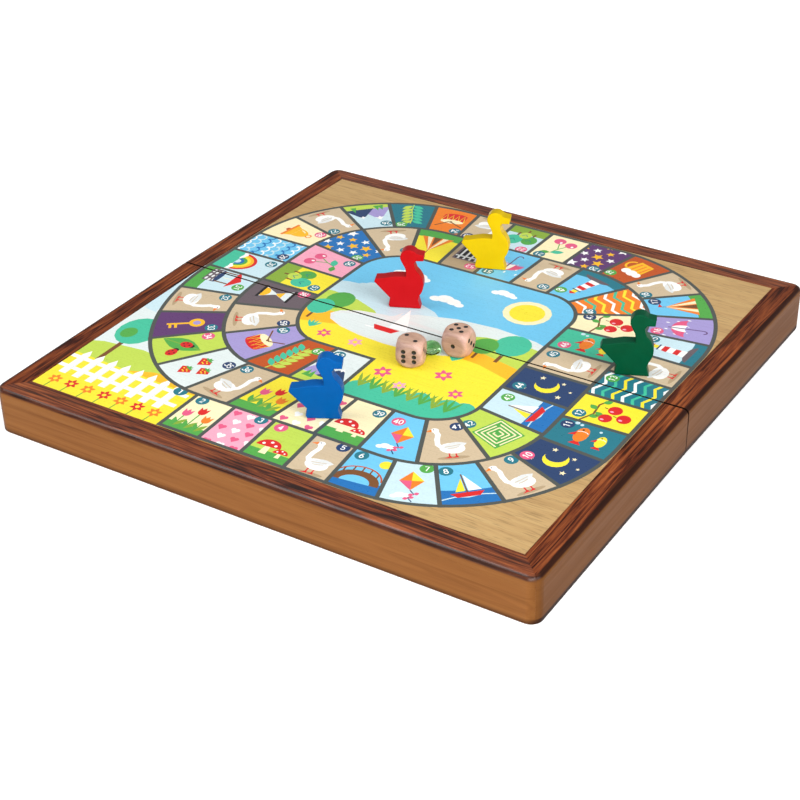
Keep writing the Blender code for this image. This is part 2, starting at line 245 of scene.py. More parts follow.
class Nodes:
    """Adds nodes to a tree."""

    def __init__(self, tree):
        self.tree = tree

    def fill(self, made, inputs):
        """Set a node's inputs, or link them where the value is another node's output."""
        for key, value in inputs.items():
            if isinstance(value, bpy.types.NodeSocket):
                self.tree.links.new(value, made.inputs[key])
            else:
                made.inputs[key].default_value = value

    def add(self, kind, inputs, **settings):
        """Add a node and give its outputs."""
        made = self.tree.nodes.new(kind)
        for name, value in settings.items():
            setattr(made, name, value)
        self.fill(made, inputs)
        return made.outputs

    def ramp(self, factor, stops):
        """A colour ramp; stops are places with sRGB colours or plain grey levels."""
        made = self.tree.nodes.new("ShaderNodeValToRGB")
        self.fill(made, {"Fac": factor})
        elements = made.color_ramp.elements
        while len(elements) < len(stops):
            elements.new(0.5)
        for element, (place, colour) in zip(elements, stops):
            element.position = place
            element.color = linear(colour) if isinstance(colour, tuple) else (colour, colour, colour, 1.0)
        return made.outputs["Color"]

    def mix(self, factor, first, second, blend="MIX"):
        inputs = {0: factor, 6: first, 7: second}
        return self.add("ShaderNodeMix", inputs, data_type="RGBA", blend_type=blend)[2]

    def tone(self, factor, colour, shade):
        """Multiply a colour by a factor's share of a shade."""
        return self.mix(factor, colour, shade, "MULTIPLY")

    def span(self, value, low, high, to_low, to_high):
        """Map a range of values to another."""
        return self.add("ShaderNodeMapRange", {
            "Value": value, "From Min": low, "From Max": high, "To Min": to_low, "To Max": to_high})["Result"]

    def compute(self, operation, *values):
        return self.add("ShaderNodeMath", dict(enumerate(values)), operation=operation)["Value"]

    def part(self, vector, axis):
        return self.add("ShaderNodeSeparateXYZ", {"Vector": vector})[axis]

    def coordinates(self, kind):
        return self.tree.nodes.new("ShaderNodeTexCoord").outputs[kind]


class Finish(Nodes):
    """A material; its place is in object coordinates, level with a half of the case when one is named."""

    def __init__(self, name, half=None, specular=0.5):
        self.material = bpy.data.materials.new(name)
        self.material.use_nodes = True
        super().__init__(self.material.node_tree)
        self.shader = self.tree.nodes["Principled BSDF"]
        self.fill(self.shader, {"Specular IOR Level": specular})
        self.place = self.coordinates("Object")
        if half:
            self.place = self.add("ShaderNodeMapping", {
                "Vector": self.place, "Location": (0, 0, AXIS_HEIGHT * MM), "Rotation": (LEANS[half], 0, 0)},
                vector_type="TEXTURE")["Vector"]

    def grain(self, stretch, detail, roughness=0.55, distortion=0.0):
        """Noise whose three scales, in cycles per metre, are given by stretch."""
        scaled = self.add("ShaderNodeMapping", {"Vector": self.place, "Scale": stretch})["Vector"]
        return self.add("ShaderNodeTexNoise", {
            "Vector": scaled, "Scale": 1.0, "Detail": detail, "Roughness": roughness,
            "Distortion": distortion})["Fac"]

    def finish(self, colour, roughness, relief=None):
        """Feed the shader and give the material; relief is a height, its depth in metres and its strength."""
        self.fill(self.shader, {"Base Color": colour, "Roughness": roughness})
        if relief:
            bump = self.add("ShaderNodeBump", dict(zip(("Height", "Distance", "Strength"), relief)))
            self.fill(self.shader, {"Normal": bump["Normal"]})
        return self.material

    def facing(self, axis):
        """From 0 on faces turned away from an axis to 1 on faces that look along it."""
        size = self.compute("ABSOLUTE", self.part(self.coordinates("Normal"), axis))
        return self.span(size, *FACING, 0.0, 1.0)

    def by_height(self, start, full, most):
        """A strength that grows from 0 at one height to its most at another."""
        return self.span(self.part(self.place, "Z"), start * MM, full * MM, 0.0, most)

    def stain(self, bands):
        """How strong a stain is at each height, blended round the corners from front to side; at the walls'
        lower edge it is stain with painted shadow.
        """
        normal = self.coordinates("Normal")
        parts = [self.part(normal, axis) for axis in ("X", "Y")]
        across, ahead = [self.compute("MULTIPLY", part, part) for part in parts]
        level = self.compute("MAXIMUM", self.compute("ADD", across, ahead), 1e-6)
        front, side = [self.by_height(*band) for band in bands]
        return self.mix(self.compute("DIVIDE", across, level), front, side)

    def shade_seam(self, wood):
        """Paint shadow on the faces that meet at the seam, where the narrow gap is dark."""
        away = self.compute("ABSOLUTE", self.part(self.place, "Y"))
        low, high = [(SEAM_HALF_GAP + depth) * MM for depth in SEAM_SHADE]
        return self.mix(self.span(away, low, high, SEAM_SHADOW_STRENGTH, 0.0), wood, linear(SEAM_SHADOW_COLOUR))


def along(axis, length, across):
    """Noise scales for a grain that runs along X or Y."""
    return (length, across, across) if axis == "x" else (across, length, across)


def honey_tone(look, axis):
    """Honey stained wood with fine straight grain and painted shade on its left and right faces: its colour
    and its grain.
    """
    cloud = look.grain(along(axis, 7, 60), 3.0, 0.5, 0.4)
    grain = look.grain(along(axis, 5, 150), 5.0, 0.58, 1.5)
    fine = look.grain(along(axis, 90, 3200), 2.0, 0.5)
    wood = look.ramp(cloud, [(0.3, (122, 75, 35)), (0.55, (132, 84, 41)), (0.75, (139, 89, 45))])
    lines = look.ramp(grain, [(0.34, (96, 54, 24)), (0.5, (132, 83, 41)), (0.68, (144, 95, 50))])
    wood = look.mix(0.5 if axis == "x" else 0.2, wood, lines)
    # Painted shade on the faces that look along X, the left and right faces
    wood = look.tone(look.facing("X"), wood, (*SIDE_FACE_PAINTED_SHADE, 1.0))
    return look.tone(0.16, wood, look.ramp(fine, [(0.32, 0.7), (0.5, 1.0)])), grain


def rosewood(half, axis):
    """Border rail: streaked rosewood on top, a dark stained edge and the wall's honey stain below it, with
    painted shade on its left and right faces, and painted shadow at the seam.
    """
    look = Finish(f"{half}_rosewood_{axis}", half, 0.06)
    flow = look.grain(along(axis, 8, 76), 3.0, 0.5, 1.6)
    streaks = look.grain(along(axis, 13, 300), 5.0, 0.55, 2.0)
    pores = look.grain(along(axis, 120, 2600), 3.0, 0.6)
    body = look.ramp(flow, [(0.36, (68, 28, 15)), (0.5, (110, 53, 26)), (0.64, (143, 77, 38))])
    veins = look.ramp(streaks, [
        (0.38, (20, 7, 5)), (0.45, (77, 32, 18)), (0.53, (119, 57, 29)), (0.66, (158, 86, 44))])
    wood = look.tone(0.7, look.mix(0.78, body, veins), look.ramp(pores, [(0.30, 0.4), (0.46, 1.0)]))
    wood = look.mix(look.stain(DARK_EDGE), wood, linear(EDGE_COLOUR))
    wood = look.mix(look.stain(HONEY_FOOT), wood, honey_tone(look, axis)[0])
    look.fill(look.shader, {
        "Coat Roughness": LACQUER_ROUGHNESS, "Coat Weight": look.by_height(*LACQUER[axis])})
    return look.finish(look.shade_seam(wood), look.span(streaks, 0.3, 0.7, 0.46, 0.36), (pores, 0.00005, 0.5))


def honey_wood(half, axis):
    """Honey stained side wall, with painted shade on its left and right faces, a dark lower edge of stain
    with painted shadow along the floor, and painted shadow at the seam.
    """
    look = Finish(f"{half}_honey_wood_{axis}", half, 0.06)
    wood, grain = honey_tone(look, axis)
    # Dark lower edge: stain with painted shadow where the wall meets the floor; painted shadow at the seam
    wood = look.shade_seam(look.mix(look.stain(LOWER_STAIN_AND_SHADOW), wood, linear(LOWER_STAIN_AND_SHADOW_COLOUR)))
    return look.finish(wood, look.span(grain, 0.3, 0.7, 0.5, 0.38), (grain, 0.00004, 0.4))


def birch(half):
    """Pale birch veneer, grain along the seam, with painted shadow on the faces at the seam."""
    look = Finish(f"{half}_birch", half, 0.3)
    figure = look.grain((9, 130, 130), 4.0, 0.55, 1.2)
    grain = look.grain((85, 1000, 1000), 3.0, 0.55, 0.4)
    wood = look.ramp(figure, [(0.3, (178, 143, 95)), (0.5, (189, 154, 103)), (0.7, (198, 165, 113))])
    wood = look.tone(0.5, wood, look.ramp(grain, [(0.34, 0.4), (0.46, 0.94), (0.7, 1.0)]))
    return look.finish(look.shade_seam(wood), 0.36, (grain, 0.00003, 0.5))


def printed_ink():
    """Offset ink on the veneer: the drawn colour with faint grain, mottle and a satin varnish."""
    look = Finish("printed_ink", specular=0.3)
    drawn = look.add("ShaderNodeVertexColor", {}, layer_name="ink")["Color"]
    grain = look.grain((24, 900, 900), 3.0, 0.6, 0.4)
    mottle = look.grain((900, 900, 900), 3.0, 0.7)
    ink = look.tone(0.22, drawn, look.ramp(grain, [(0.3, 0.72), (0.52, 1.0)]))
    ink = look.tone(0.22, ink, look.ramp(mottle, [(0.35, 0.7), (0.6, 1.0)]))
    return look.finish(ink, look.span(mottle, 0.3, 0.7, 0.26, 0.38), (grain, 0.00002, 0.4))


def gloss_paint(name, colour, shade, top):
    """Dipped gloss paint over wood, a little uneven, with painted shade on its upper faces and the grain just
    raised.
    """
    look = Finish(f"{name}_paint", specular=0.08)
    pooled = look.grain((120, 120, 120), 3.0, 0.5)
    grain = look.grain((900, 900, 160), 3.0, 0.6, 0.4)
    paint = look.ramp(pooled, [(0.3, shade), (0.62, colour)])
    # Painted shade on the upper faces
    paint = look.tone(look.facing("Z"), paint, (*top, 1.0))
    paint = look.tone(0.05, paint, look.ramp(grain, [(0.3, 0.6), (0.55, 1.0)]))
    return look.finish(paint, look.span(grain, 0.3, 0.7, 0.38, 0.3), (grain, 0.00003, 0.25))


def beech():
    """Turned beech with short dark flecks, and painted light on the faces that look along X and painted shade
    on those along Y.
    """
    look = Finish("beech_wood", specular=0.3)
    figure = look.grain((60, 260, 260), 3.0, 0.5, 0.8)
    flecks = look.grain((500, 2400, 2400), 2.0, 0.5)
    wood = look.ramp(figure, [(0.3, (170, 134, 115)), (0.55, (189, 153, 132)), (0.75, (202, 168, 147))])
    wood = look.tone(0.45, wood, look.ramp(flecks, [(0.3, 0.55), (0.44, 1.0)]))
    # Painted light and shade on the faces that look along X and Y
    for axis, tone in DIE_FACE_PAINTED_LIGHT_AND_SHADE.items():
        wood = look.tone(look.facing(axis), wood, (*tone, 1.0))
    return look.finish(wood, 0.42, (flecks, 0.00005, 0.4))


def pip_paint():
    """Matt black paint in the pips."""
    look = Finish("pip_paint")
    speck = look.grain((1500, 1500, 1500), 2.0)
    return look.finish(look.ramp(speck, [(0.3, (14, 12, 12)), (0.7, (34, 30, 28))]), 0.5)


def green_glass():
    """Clear green glass with a softly uneven skin."""
    look = Finish("green_glass")
    look.fill(look.shader, {"Transmission Weight": 1.0, "IOR": 1.32})
    swirl = look.grain((210, 210, 260), 2.0, 0.5, 1.2)
    tint = look.ramp(swirl, [(0.3, (142, 212, 140)), (0.7, (192, 238, 182))])
    return look.finish(tint, 0.04, (swirl, 0.0004, 0.3))


def brushed_metal(name, colour, shade, roughness):
    """Drawn metal with faint lines along the hinge and some tarnish."""
    look = Finish(name)
    look.fill(look.shader, {"Metallic": 1.0})
    lines = look.grain((200, 5200, 5200), 2.0, 0.5)
    tarnish = look.grain((240, 240, 240), 4.0, 0.6)
    tone = look.ramp(tarnish, [(0.35, shade), (0.62, colour)])
    dulled = look.span(tarnish, 0.3, 0.7, roughness + 0.14, roughness)
    return look.finish(tone, dulled, (lines, 0.00003, 0.5))


def smooth_shading_group():
    """Smooth shading of the solids' round edges, leaving their meshes as they are."""
    group = bpy.data.node_groups.new("smooth_round_edges", "GeometryNodeTree")
    for way in ("INPUT", "OUTPUT"):
        group.interface.new_socket("Geometry", in_out=way, socket_type="NodeSocketGeometry")
    nodes = Nodes(group)
    start = nodes.add("NodeGroupInput", {})[0]
    welded = nodes.add("GeometryNodeMergeByDistance", {"Geometry": start, "Distance": SOLID_WELD})["Geometry"]
    plain = nodes.add("GeometryNodeRemoveAttribute", {
        "Geometry": welded, "Name": "custom_normal"})["Geometry"]
    faces = nodes.add("GeometryNodeSetShadeSmooth", {
        "Geometry": plain, "Shade Smooth": True}, domain="FACE")["Geometry"]
    angle = nodes.add("GeometryNodeInputMeshEdgeAngle", {})["Unsigned Angle"]
    round_edge = nodes.add("FunctionNodeCompare", {
        0: angle, 1: math.radians(SMOOTH_ANGLE)}, operation="LESS_THAN")["Result"]
    edges = nodes.add("GeometryNodeSetShadeSmooth", {
        "Geometry": faces, "Shade Smooth": round_edge}, domain="EDGE")["Geometry"]
    nodes.add("NodeGroupOutput", {0: edges})
    return group


def dress_solids():
    """Give every solid its finish."""
    smooth = smooth_shading_group()
    looks = {}
    for half in HALF_FRAMES:
        for axis in ("x", "y"):
            looks[f"{half}_rail_{axis}"] = rosewood(half, axis)
            looks[f"{half}_wall_{axis}"] = honey_wood(half, axis)
        looks[f"{half}_panel"] = birch(half)
    looks["leaf"] = brushed_metal("hinge_brass", (214, 172, 98), (168, 126, 62), 0.26)
    looks["screw"] = brushed_metal("screw_brass", (206, 160, 84), (150, 112, 56), 0.32)
    looks["pin"] = brushed_metal("pin_steel", (198, 198, 196), (150, 150, 150), 0.28)
    for name, paint in PAWN_PAINTS_AND_TOP_SHADE.items():
        looks[f"goose_{name}"] = gloss_paint(name, *paint)
    for name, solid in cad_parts.items():
        words = name.split("_")
        axis = "y" if "left" in words or "right" in words else "x"
        key = name
        if words[0] == "hinge":
            key = words[2]
        elif words[-1] in ("rail", "wall"):
            key = f"{words[0]}_{words[-1]}_{axis}"
        if key not in looks:
            continue
        for slot in solid.material_slots:
            slot.material = looks[key]
        solid.modifiers.new("round_edges", "NODES").node_group = smooth
        solid.modifiers.new("flat_faces", "WEIGHTED_NORMAL").keep_sharp = True
    return looks


def mesh_object(name, bm, materials):
    mesh = bpy.data.meshes.new(name)
    bm.to_mesh(mesh)
    bm.free()
    for material in materials:
        mesh.materials.append(material)
    made = bpy.data.objects.new(name, mesh)
    bpy.context.collection.objects.link(made)
    return made


# Drawing tools for the print

def turn_left(vector):
    return Vector((-vector.y, vector.x))


def turned(points, x, y, degrees):
    """Points turned about the origin and moved to a spot."""
    cosine, sine = math.cos(math.radians(degrees)), math.sin(math.radians(degrees))
    return [(x + a * cosine - b * sine, y + a * sine + b * cosine) for a, b in points]


def curve(x, y, wide, high, start, end, steps=8):
    """Points along part of an oval."""
    angles = [math.radians(start + (end - start) * index / steps) for index in range(steps + 1)]
    return [(x + wide * math.cos(a), y + high * math.sin(a)) for a in angles]


class Sheet:
    """Inked shapes in painting order, in millimetres on the open board."""

    def __init__(self):
        self.shapes = []

    def add(self, outline, colour, clip=None):
        """Paint an outline; clip is the number of the shape that it stays inside."""
        area = sum(a[0] * b[1] - b[0] * a[1] for a, b in zip(outline, outline[1:] + outline[:1]))
        points = outline if area > 0 else outline[::-1]
        self.shapes.append(([Vector(point) for point in points], colour, clip))
        return len(self.shapes) - 1


class Pen:
    """Draws in a turned and scaled frame of its own on the sheet."""

    def __init__(self, sheet, centre, up, unit, clip=None, mirror=1, span=None):
        self.sheet = sheet
        self.centre = centre
        self.up = up * unit
        self.right = -turn_left(up) * unit * mirror
        self.clip = clip
        self.span = span

    def fill(self, points, colour):
        outline = [self.centre + self.right * x + self.up * y for x, y in points]
        self.sheet.add(outline, INK[colour], self.clip)

    def box(self, left, low, right, high, colour):
        self.fill([(left, low), (right, low), (right, high), (left, high)], colour)

    def oval(self, x, y, wide, high, colour, turn=0, start=0, end=360, steps=16):
        """An oval, or the part of one between two angles closed by its chord."""
        points = curve(0, 0, wide, high, start, end, steps)
        if end - start == 360:
            points.pop()
        self.fill(turned(points, x, y, turn), colour)

    def disc(self, x, y, radius, colour, steps=16):
        self.oval(x, y, radius, radius, colour, steps=steps)

    def dome(self, x, y, wide, high, colour, steps=16):
        """The upper half of an oval."""
        self.oval(x, y, wide, high, colour, 0, 0, 180, steps)

    def line(self, points, width, colour):
        """A stroke of even width along some points."""
        path = [Vector(point) for point in points]
        left, right = [], []
        for index, point in enumerate(path):
            before = path[max(index - 1, 0)]
            after = path[min(index + 1, len(path) - 1)]
            side = turn_left((after - before).normalized()) * width / 2
            left.append(tuple(point + side))
            right.append(tuple(point - side))
        self.fill(left + right[::-1], colour)

    def leaf(self, x, y, length, width, turn, colour, steps=6):
        """A pointed leaf from its stalk end."""
        top = [(length * i / steps, width * math.sin(math.pi * i / steps)) for i in range(steps + 1)]
        under = [(a, -b) for a, b in reversed(top[1:-1])]
        self.fill(turned(top + under, x, y, turn), colour)

    def star(self, x, y, reach, colour, turn=90):
        """A star with five tips."""
        points = []
        for index in range(10):
            angle = math.radians(turn + 36 * index)
            radius = reach * 0.45 if index % 2 else reach
            points.append((x + radius * math.cos(angle), y + radius * math.sin(angle)))
        self.fill(points, colour)

    def flower(self, x, y, reach, petal, heart, turn=0):
        """Six petals round a heart."""
        for index in range(6):
            self.leaf(x, y, reach, reach * 0.26, turn + 60 * index, petal, 5)
        self.disc(x, y, reach * 0.3, heart, 10)

    def cloud(self, x, y, size, colour):
        for dx, dy, radius in ((-0.9, 0, 0.5), (-0.2, 0.3, 0.7), (0.6, 0.15, 0.6), (1.2, -0.08, 0.4)):
            self.oval(x + dx * size, y + dy * size, radius * size, radius * size * 0.8, colour)

    def band(self, low, high, colour):
        """Fill the space between two depths, 0 at its outer line and 1 at its inner line."""
        places = along_space(*self.span)
        near = [lane_point(u, low) for u in places]
        far = [lane_point(u, high) for u in reversed(places)]
        self.sheet.add(near + far, INK[colour], self.clip)

    def number(self, value, x, y, height, colour):
        text = str(value)
        for index, digit in enumerate(text):
            middle = x + (index - (len(text) - 1) / 2) * height * DIGIT_PITCH
            for stroke in DIGITS[digit]:
                points = [(middle + a * height, y + (b - 0.5) * height) for a, b in stroke]
                self.line(points, height * DIGIT_STROKE, colour)


def ring_point(turn, u):
    """A point on the line outside a turn of the track; u counts its eight stretches."""
    wide, deep, radius, start = RINGS[turn]
    stretch = min(int(u), STRETCHES - 1)
    t = u - stretch
    if stretch == STRETCHES - 1:
        next_deep, next_start = RINGS[turn + 1][1], RINGS[turn + 1][3]
        angle = t * math.pi / 2
        return Vector((next_start - (wide + next_start) * math.cos(angle), -next_deep * math.sin(angle)))
    x, y = wide - radius, deep - radius
    corners = {1: ((x, -y), -90), 3: ((x, y), 0), 5: ((-x, y), 90)}
    if stretch in corners:
        centre, from_angle = corners[stretch]
        angle = math.radians(from_angle + 90 * t)
        return Vector(centre) + radius * Vector((math.cos(angle), math.sin(angle)))
    runs = {
        0: ((start, -deep), (x, -deep)),
        2: ((wide, -y), (wide, y)),
        4: ((x, deep), (-x, deep)),
        6: ((-wide, y), (-wide, 0)),
    }
    return Vector(runs[stretch][0]).lerp(Vector(runs[stretch][1]), t)


def lane_point(u, depth):
    """A point of the track, depth 0 on its outer line and 1 on its inner line."""
    turn = min(int(u // STRETCHES), len(RINGS) - 2)
    local = u - turn * STRETCHES
    return ring_point(turn, local).lerp(ring_point(turn + 1, local), depth)


def along_space(first, last):
    """Places along a space, from its first end to its last."""
    return [first + (last - first) * index / SPACE_STEPS for index in range(SPACE_STEPS + 1)]


def inward(u):
    return (lane_point(u, 1) - lane_point(u, 0)).normalized()


def space_ends():
    """Cut the middle line of the track into spaces of equal length."""
    places = [TRACK_END * index / TRACK_SAMPLES for index in range(TRACK_SAMPLES + 1)]
    points = [lane_point(u, 0.5) for u in places]
    lengths = [0.0]
    for a, b in zip(points, points[1:]):
        lengths.append(lengths[-1] + (b - a).length)
    spaces = LAST_SPACE - FIRST_SPACE + 1
    ends, index = [], 0
    for number in range(spaces + 1):
        target = lengths[-1] * number / spaces
        while index < TRACK_SAMPLES and lengths[index + 1] < target:
            index += 1
        ends.append(places[min(index, TRACK_SAMPLES)])
    ends[-1] = TRACK_END
    return ends


def space_outline(first, last, inset):
    """Outline of one space, drawn in from its lines."""
    outer, inner = [], []
    for index, u in enumerate(along_space(first, last)):
        across = inward(u)
        forward = -turn_left(across)
        shift = forward * {0: inset, SPACE_STEPS: -inset}.get(index, 0.0)
        outer.append(lane_point(u, 0) + across * inset + shift)
        inner.append(lane_point(u, 1) - across * inset + shift)
    return outer + inner[::-1]


def ring(x, y, wide, high):
    """An oval ring as two strokes that overlap at top and bottom."""
    return [curve(x, y, wide, high, 80, 280), curve(x, y, wide, high, -100, 100)]


DIGITS = {
    "0": ring(0, 0.5, 0.26, 0.5),
    "1": [[(-0.18, 0.76), (0.08, 0.96)], [(0.06, 1.0), (0.06, 0)]],
    "2": [curve(0, 0.72, 0.26, 0.27, 160, -30, 7) + [(-0.26, 0.03), (0.3, 0.03)]],
    "3": [curve(-0.02, 0.76, 0.25, 0.23, 150, -80, 7), curve(-0.02, 0.27, 0.28, 0.27, 80, -150, 7)],
    "4": [[(0.12, 0), (0.12, 1.0)], [(0.14, 0.98), (-0.28, 0.3)], [(-0.34, 0.3), (0.32, 0.3)]],
    "5": [[(0.26, 0.97), (-0.2, 0.97), (-0.24, 0.55)], curve(-0.02, 0.3, 0.28, 0.3, 140, -150, 8)],
    "6": ring(0.02, 0.28, 0.25, 0.28) + [curve(0.3, 0.3, 0.53, 0.68, 180, 105, 5)],
    "7": [[(-0.28, 0.97), (0.28, 0.97), (-0.08, 0)]],
    "8": ring(0, 0.75, 0.22, 0.23) + ring(0, 0.26, 0.27, 0.27),
    "9": ring(-0.02, 0.72, 0.25, 0.28) + [curve(-0.3, 0.7, 0.53, 0.68, 0, -75, 5)],
}


# Pictures on the spaces; each draws in units of half a space's width

def goose(pen):
    pen.oval(-0.08, -1.2, 0.72, 0.13, "beige_dark")
    for x in (-0.24, 0.06):
        pen.line([(x, -0.7), (x + 0.02, -1.12)], 0.07, "red")
        pen.fill([(x - 0.04, -1.06), (x + 0.28, -1.22), (x - 0.08, -1.2)], "red")
    pen.leaf(0.32, -0.46, -1.18, 0.3, -16, "pearl")
    pen.oval(-0.12, -0.46, 0.58, 0.42, "white", 10)
    pen.line([(0.26, -0.44), (0.48, -0.1), (0.46, 0.3), (0.36, 0.68), (0.44, 1.02)], 0.25, "white")
    pen.oval(0.47, 1.06, 0.2, 0.17, "white")
    pen.fill([(0.6, 1.16), (0.92, 0.98), (0.6, 0.95)], "orange")
    pen.leaf(0.28, -0.38, -0.92, 0.24, -12, "pearl")
    pen.line([(0.2, -0.34), (-0.1, -0.3), (-0.5, -0.22)], 0.04, "beige")
    pen.line([(0.1, -0.5), (-0.15, -0.46), (-0.42, -0.38)], 0.04, "beige")
    pen.disc(0.51, 1.11, 0.04, "black", 6)


def boat(pen):
    pen.band(0, 0.36, "blue")
    pen.line([(-1.2, -0.85), (-0.6, -0.75), (0, -0.86), (0.6, -0.75), (1.2, -0.86)], 0.07, "pale")
    pen.fill([(-0.75, -0.5), (0.75, -0.5), (0.5, -0.82), (-0.5, -0.82)], "red")
    pen.line([(0, -0.5), (0, 0.85)], 0.07, "brown")
    pen.fill([(0.07, -0.4), (0.07, 0.8), (0.66, -0.4)], "white")
    pen.fill([(-0.07, -0.4), (-0.07, 0.55), (-0.5, -0.4)], "yellow")


def mushrooms(pen):
    pen.band(0, 0.24, "green")
    for x, y, size in ((-0.28, -0.3, 0.62), (0.5, -0.6, 0.38)):
        top, foot = 0.2 * size, 0.3 * size
        pen.fill([(x - top, y), (x + top, y), (x + foot, y - size), (x - foot, y - size)], "cream")
        pen.dome(x, y - 0.05, size, size * 0.9, "red")
        for dx, dy in ((-0.5, 0.2), (0.05, 0.5), (0.5, 0.18)):
            pen.disc(x + dx * size, y + dy * size, 0.13 * size, "white", 8)


def kite(pen):
    pen.cloud(-0.35, -0.9, 0.34, "white")
    pen.fill([(0, 0.95), (0.55, 0.25), (0, -0.45), (-0.55, 0.25)], "orange")
    pen.fill([(0, 0.95), (0.55, 0.25), (0, 0.25)], "yellow")
    pen.fill([(0, 0.25), (0, -0.45), (-0.55, 0.25)], "rose")
    pen.line([(0, -0.45), (0.2, -0.75), (-0.05, -1.0), (0.15, -1.3)], 0.06, "navy")
    for x, y in ((0.18, -0.74), (-0.02, -1.02)):
        pen.leaf(x, y, 0.26, 0.1, 20, "rose")
        pen.leaf(x, y, 0.26, 0.1, 200, "rose")


def apples(pen):
    pen.line([(-1.1, 1.0), (-0.3, 0.62), (0.5, 0.7), (1.1, 0.4)], 0.1, "brown")
    for x, y, turn in ((-0.6, 0.74, -60), (0.1, 0.64, 60), (0.7, 0.62, -50), (-0.1, 0.6, -120)):
        pen.leaf(x, y, 0.5, 0.16, turn, "green")
    for x, y, size in ((-0.4, 0.0, 0.34), (0.38, -0.15, 0.36), (-0.1, -0.78, 0.36)):
        pen.line([(x, y + size), (x + 0.04, y + size * 1.5)], 0.06, "brown")
        pen.oval(x, y, size, size * 0.95, "red")
        pen.oval(x - size * 0.4, y + size * 0.3, size * 0.2, size * 0.28, "pink", steps=8)


def fish(pen):
    for x, y, size, colour in ((0.05, 0.3, 0.6, "orange"), (-0.1, -0.7, 0.46, "yellow")):
        tail, fin = x - 1.35 * size, y + 0.45 * size
        pen.fill([(x - 0.7 * size, y), (tail, y + 0.5 * size), (tail, y - 0.5 * size)], "red")
        pen.oval(x, y, size, size * 0.55, colour)
        pen.fill([(x - 0.2 * size, fin), (x + 0.3 * size, fin), (x - 0.3 * size, y + size)], "red")
        pen.line(curve(x + 0.1 * size, y, 0.36 * size, 0.5 * size, -60, 60, 5), 0.07 * size, "white")
        pen.disc(x + 0.66 * size, y + 0.12 * size, 0.1 * size, "black", 8)
    for x, y, size in ((0.78, 0.6, 0.09), (0.85, 0.85, 0.12), (0.62, -0.4, 0.08)):
        pen.disc(x, y, size, "pale", 8)


def umbrella(pen):
    for index in range(9):
        pen.leaf(-0.85 + 0.22 * index, 0.95 - 0.5 * (index % 3), 0.24, 0.05, -100, "white", 3)
    pen.dome(0, -0.2, 0.85, 0.8, "rose")
    pen.dome(0, -0.2, 0.34, 0.8, "white")
    for x in (-0.57, 0, 0.57):
        pen.dome(x, -0.2, 0.285, 0.12, "lilac", 8)
    pen.line([(0, 0.75), (0, -1.0)] + curve(-0.16, -1.0, 0.16, 0.18, 0, -170, 5), 0.07, "plum")


def night(pen):
    pen.disc(0.05, 0.1, 0.6, "yellow")
    pen.disc(0.3, 0.25, 0.52, "navy")
    for x, y, size in ((0.6, 0.6, 0.16), (-0.6, 0.95, 0.12), (0.6, -0.5, 0.13), (-0.55, -0.8, 0.17),
                       (0.1, -1.1, 0.1)):
        pen.star(x, y, size, "cream")


def trees(pen):
    pen.band(0, 0.3, "moss")
    for x, y, size, colour in ((-0.45, 0.1, 0.44, "green"), (0.42, 0.3, 0.5, "jade"),
                               (0.0, -0.4, 0.34, "lime")):
        pen.line([(x, y), (x, y - size * 1.9)], 0.12, "brown")
        pen.oval(x, y, size, size * 1.15, colour)
        pen.line([(x - 0.16, y + 0.1), (x, y - 0.1), (x + 0.16, y + 0.12)], 0.05, "teal")


def hearts(pen):
    for row in range(5):
        for column in range(3):
            x = -0.72 + column * 0.72 + (0.36 if row % 2 else 0)
            y = -1.25 + row * 0.62
            colour = "white" if (row + column) % 2 else "rose"
            pen.disc(x - 0.1, y, 0.12, colour, 10)
            pen.disc(x + 0.1, y, 0.12, colour, 10)
            pen.fill([(x - 0.21, y - 0.04), (x + 0.21, y - 0.04), (x, y - 0.3)], colour)


def sprig(pen):
    pen.line([(-0.1, -1.6), (0.05, -0.6), (-0.02, 0.4), (0.08, 1.1)], 0.07, "lime")
    for index in range(6):
        y = -1.2 + index * 0.38
        pen.leaf(0, y, 0.72, 0.17, 35, "lime")
        pen.leaf(0, y, 0.72, 0.17, 145, "jade")


def bell(pen):
    pen.disc(0, -0.62, 0.16, "rust")
    pen.dome(0, -0.05, 0.46, 0.78, "gold")
    pen.fill([(-0.46, -0.06), (0.46, -0.06), (0.7, -0.55), (-0.7, -0.55)], "gold")
    pen.line([(-0.74, -0.52), (0.74, -0.52)], 0.16, "orange")
    pen.line(curve(0, 0.82, 0.16, 0.16, -60, 240, 8), 0.08, "orange")
    pen.line(curve(-0.1, 0.0, 0.22, 0.45, 110, 170, 4), 0.08, "cream")


def lighthouse(pen):
    pen.band(0, 0.22, "teal")
    pen.dome(0.1, -1.05, 0.8, 0.35, "dusk")
    left, right, low, high = -0.3, 0.3, -0.75, 0.6
    pen.fill([(left, low), (right, low), (right * 0.62, high), (left * 0.62, high)], "white")
    for index in range(2):
        y = low + 0.3 + index * 0.6
        pen.fill([(left * 0.9, y), (right * 0.9, y), (right * 0.8, y + 0.28), (left * 0.8, y + 0.28)], "red")
    pen.box(-0.28, 0.6, 0.28, 0.68, "navy")
    pen.box(-0.15, 0.68, 0.15, 0.92, "yellow")
    pen.fill([(-0.24, 0.92), (0.24, 0.92), (0, 1.16)], "red")


